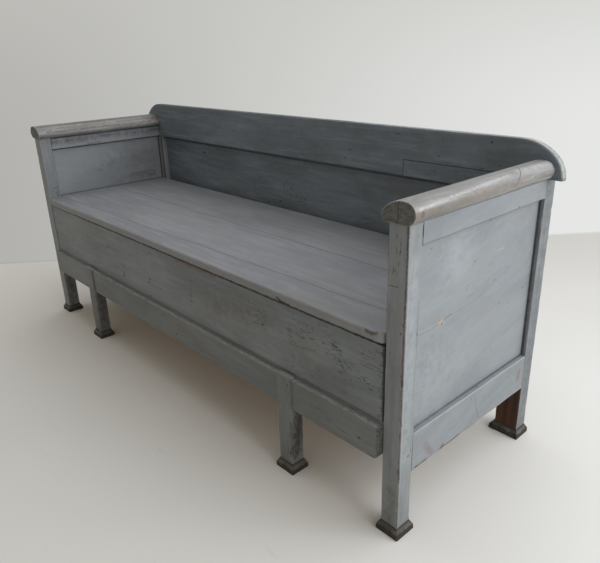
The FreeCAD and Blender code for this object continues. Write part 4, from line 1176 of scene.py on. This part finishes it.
aim_camera()
floor_corners = [(x * FLOOR_HALF, y * FLOOR_HALF, 0) for x, y in ((-1, -1), (1, -1), (1, 1), (-1, 1))]
stage_sheet("stage_floor", floor_corners, floor_material())
low_a, low_b = WALL_A - ALONG_WALL * WALL_PAST, WALL_B + ALONG_WALL * WALL_PAST
wall_corners = [low_a, low_b, low_b + UP * WALL_HIGH, low_a + UP * WALL_HIGH]
stage_sheet("stage_wall", wall_corners, wall_material())
lamp("window", (2.9, 0.4, 1.5), (0.5, 0.0, 0.4), 2.4, 1.9, 58, (0.92, 0.96, 1.0))
lamp("high_window", (1.8, 1.7, 2.4), (0.5, 0.2, 0.3), 2.0, 2.0, 30, (0.84, 0.88, 1.0))
lamp("ceiling", (-0.5, 0.7, 3.0), (-0.2, 0.1, 0.3), 3.4, 3.4, 38, (0.86, 0.92, 1.0))
light_world()


# The bench frame. Spans are in mm, without the tenons and pins that other pieces hide.

FRAME, LID, PULL = "bench_frame", "lid", "pull_out"
SIDES = (("left", -1), ("right", 1))
POST_SPAN = (26, 720)
END_RAIL_SPAN = (-228, 246)
BACK_RAIL_SPAN = (-835, 835)
FOOT_STRAIGHT, FOOT_EDGE, FOOT_STEP = 12, 2.5, 6
POST_SIDE = 899
UNPAINTED_BELOW = 160
# Edge radii: free edges, battens, hidden boards, boards in a frame, and let-in or covered pieces.
SOFT, BATTEN, HIDDEN, FITTED, TIGHT = 3.0, 2.0, 1.6, 1.2, 1.0
# How far apart the points of a piece are.
ROLL_STEP, PROFILE_STEP, OUTLINE_STEP, FINE_STEP, STEP, COARSE_STEP = 7, 8, 9, 10, 12, 26
seeds = itertools.count(110, 10)


def paint_board(node, key, grain, radius, step, seed, joints="", box=None, **wear):
    """One painted board of the frame, in its CAD node's box or in the one given."""
    lo, hi = box or node_box(node)
    shape = board(lo, hi, grain, radius, step, seed, joints, **wear)
    make(node + "_paint", shape, painted(key, lo, hi), FRAME, node)


def bare_boards(grains, slats, body):
    """Bare boards in the CAD's own order: those that grains names, and the slats along y."""
    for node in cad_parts:
        grain = grains.get(node, "y" if node.startswith(slats) else None)
        if grain:
            wood = DUSTY if node == "lid_back_cleat" else BARE
            shape = board(*node_box(node), grain, HIDDEN, COARSE_STEP, next(seeds), chips=0.4)
            make(node + "_wood", shape, wood, body, node)


def foot(name, node, post_lo, post_hi, body, seed):
    """A block that steps in to its post: straight at first, then sloping to the post's own section."""
    lo, hi = node_box(node)
    shape = board(lo, hi, "z", FOOT_EDGE, FOOT_STEP, seed, "z", wear=1.6, relief=0.6, chips=1.5)
    start = lo[2] + FOOT_STRAIGHT
    rise = np.clip((shape.points[:, 2] - start) / (hi[2] - start), 0, 1)[:, None]
    centre, want = (lo + hi)[:2] / 2, (post_lo + post_hi)[:2] / 2
    scale = (post_hi - post_lo)[:2] / (hi - lo)[:2]
    target = want + (shape.points[:, :2] - centre) * scale
    shape.points[:, :2] += (target - shape.points[:, :2]) * rise
    make(name, shape, FOOT, body, node)


def under_rail(middle, normal):
    """The side of a rear post that was never painted, below the end frame's rail."""
    return (normal[:, 1] < -0.5) & (middle[:, 2] < UNPAINTED_BELOW)


def outer_side(middle, normal):
    """The side of a front post that faces away from the bench."""
    return (np.abs(middle[:, 0]) > POST_SIDE - 1) & (np.abs(normal[:, 0]) > 0.7)


def post(word, s, place, seed):
    """A post in two materials: the rear ones have bare wood low down, the front ones an outer side."""
    node = f"{word}_{place}_post"
    lo, hi = node_box(node, z=POST_SPAN)
    if place == "rear":
        second, where = BROWN_WOOD, under_rail
    else:
        second, where = painted("post", (s * POST_SIDE, lo[1], lo[2]), hi), outer_side
    first = painted("post", lo, hi if place == "rear" or s < 0 else (hi[0], lo[1], hi[2]))
    shape = board(lo, hi, "z", SOFT, FINE_STEP, seed, "z")
    make(node + "_paint", shape, first, FRAME, node, ends=second, where=where)
    foot(f"{word}_{place}_foot_block", f"{word}_{place}_foot", lo, hi, FRAME, seed + 5)


def armrest(word, seed):
    """A rounded roll, whose ends show their grain through the paint."""
    node = f"{word}_armrest"
    lo, hi = node_box(node)
    shape = prism(cap_outline(node, "y"), "y", lo[1], hi[1], SOFT, ROLL_STEP, "y", seed)
    make(node + "_roll", shape, painted("arm", lo, hi), FRAME, node, ends=END_GRAIN)


for word, s in SIDES:
    for place in ("front", "rear"):
        post(word, s, place, next(seeds))
    for rail in ("bottom", "top"):
        node = f"{word}_{rail}_rail"
        box = node_box(node, y=END_RAIL_SPAN)
        paint_board(node, "end", "y", SOFT, FINE_STEP, next(seeds), "y", box=box)
    for part in ("lower", "upper"):
        node = f"{word}_{part}_end_board"
        paint_board(node, "end", "y", FITTED, STEP, next(seeds), wear=0.6, chips=0.3)
    armrest(word, next(seeds))

lo, hi = node_box("crest_board")
crest = prism(cap_outline("crest_board", "y"), "y", lo[1], hi[1], SOFT, OUTLINE_STEP, "x", 301)
make("crest_board_paint", crest, painted("back", lo, hi), FRAME, "crest_board")
paint_board("crest_patch", "back", "x", TIGHT, STEP, 311, chips=0.3)
paint_board("back_board", "back", "x", FITTED, STEP, 321, chips=0.3)
paint_board("box_back_board", "back", "x", FITTED, STEP, 331, chips=0.3)
box = node_box("back_rail", x=BACK_RAIL_SPAN)
paint_board("back_rail", "back", "x", SOFT, STEP, 341, "x", box=box, chips=0.3)

FRAME_GRAINS = {
    "front_stretcher": "x", "rear_slat_bearer": "x", "lid_back_cleat": "x",
    "left_lid_cleat": "y", "right_lid_cleat": "y", "left_runner": "y", "right_runner": "y",
}
bare_boards(FRAME_GRAINS, "fixed_slat", FRAME)


# The lid.

NOSE_BACK = -262
LID_END = 845


def lid_rim(front):
    """Rim radius round a lid board's outline: soft at the nose and the ends, tight where boards meet."""
    def rims(p, end):
        nose = front & (p[:, 1] < NOSE_BACK)
        ends = np.abs(p[:, 0]) > LID_END
        return np.where(nose, RIM_MOST if end > 0 else SOFT, np.where(ends, 2.5, 0.6))
    return rims


for word, number in (("front", 401), ("middle", 411), ("back", 421)):
    node = f"lid_{word}_board"
    lo, hi = node_box(node)
    rim = lid_rim(word == "front")
    shape = prism(cap_outline(node, "z"), "z", lo[2], hi[2], rim, OUTLINE_STEP, "x", number)
    make(node + "_paint", shape, painted("lid", lo, hi), LID, node)
for word, number in (("left", 441), ("middle", 451), ("right", 461)):
    node = f"lid_{word}_batten"
    shape = board(*node_box(node), "y", BATTEN, COARSE_STEP, number)
    make(node + "_wood", shape, BARE, LID, node)


# The pull-out.

FRONT_SPLIT = 60
LEG_FRONT, LEG_BACK, LEG_STEP = -290, -250, -270
LEG_LOW, LEG_SHOULDER, LEG_TOP = 26, 190.8, 280
RAIL_LOW = 192
CRISP = 0.4
CORE_BACK, CORE_TOP, CORE_STEP = -249, 265, 14
RAIL_END_RADII = {"low": 15.0, "high": 7.0}


def front_board():
    """The front board, in two materials that share its marks between its left and right parts."""
    node = "pullout_front_board"
    lo, hi = node_box(node)
    left = painted("front", lo, (FRONT_SPLIT, hi[1], hi[2]))
    right = painted("front", (FRONT_SPLIT, lo[1], lo[2]), hi)

    def right_part(middle, normal):
        return middle[:, 0] > FRONT_SPLIT

    shape = board(lo, hi, "x", SOFT, FINE_STEP, 501)
    make(node + "_paint", shape, left, PULL, node, ends=right, where=right_part)


def leg_rim(p, end):
    """Soft edges below the rail, tight ones where the leg lies in it."""
    return np.where(p[:, 1] > RAIL_LOW, CRISP, SOFT)


def inner_leg(word, index):
    """A leg on its foot, halved into the rail. Gives the leg's box."""
    node = f"{word}_inner_leg"
    lo, hi = node_box(node)
    back = [(LEG_BACK, LEG_LOW), (LEG_BACK, LEG_SHOULDER), (LEG_STEP, LEG_SHOULDER), (LEG_STEP, LEG_TOP)]
    worn_top = [(LEG_FRONT + 4, LEG_TOP), (LEG_FRONT + 1, LEG_TOP - 1), (LEG_FRONT, LEG_TOP - 4)]
    side = [(LEG_FRONT, LEG_LOW), *back, *worn_top]
    shape = prism(side, "x", lo[0], hi[0], leg_rim, PROFILE_STEP, "z", 521 + index, 1.4)
    make(node + "_paint", shape, painted("rail", lo, hi), PULL, node)
    foot(f"{word}_inner_foot_block", f"{word}_inner_foot", lo, hi, PULL, 541 + index)
    return lo, hi


def wear_corner(shape, x, z, way_x, way_z, radius):
    """Rounds the shape's corner at x and z, which points along the two ways."""
    centre = np.array([x - way_x * radius, z - way_z * radius])
    off = shape.points[:, [0, 2]] - centre
    length = np.linalg.norm(off, axis=1)
    corner = (off[:, 0] * way_x > 0) & (off[:, 1] * way_z > 0) & (length > radius)
    off[corner] *= (radius / length[corner])[:, None]
    shape.points[:, [0, 2]] = np.where(corner[:, None], centre + off, shape.points[:, [0, 2]])


def pullout_rail(legs):
    """The rail: its profile between the legs, a thinner core behind them and worn ends."""
    node = "pullout_rail"
    profile = cap_outline(node, "x")
    lo, hi = node_box(node)
    spans = [(leg_lo[0], leg_hi[0]) for leg_lo, leg_hi in legs]
    (a, b), (c, d) = spans
    rail, middle, right_end = (
        prism(profile, "x", start, end, CRISP, PROFILE_STEP, "x", 561)
        for start, end in ((lo[0], a), (b, c), (d, hi[0]))
    )
    rail.joined(middle).joined(right_end)
    for left, right in spans:
        core_lo, core_hi = (left - 1, LEG_STEP + 1, RAIL_LOW), (right + 1, CORE_BACK, CORE_TOP)
        rail.joined(board(core_lo, core_hi, "x", TIGHT, CORE_STEP, 561))
    for x, way_x in ((lo[0], -1), (hi[0], 1)):
        wear_corner(rail, x, lo[2], way_x, -1, RAIL_END_RADII["low"])
        wear_corner(rail, x, hi[2], way_x, 1, RAIL_END_RADII["high"])
    make(node + "_paint", rail, painted("rail", lo, hi), PULL, node)


front_board()
pullout_rail([inner_leg(word, index) for index, word in enumerate(("left", "right"))])
PULL_GRAINS = {
    "pullout_left_side": "y", "pullout_right_side": "y",
    "pullout_slat_bearer": "x", "pullout_rear_bar": "x",
}
bare_boards(PULL_GRAINS, "pullout_slat_", PULL)


# Small metal and wooden fixings keep their CAD shapes.

for node, material in (("wooden_pegs", PEGS), ("batten_screws", IRON), ("pullout_nails", NAILS)):
    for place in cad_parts[node].material_slots:
        place.material = material
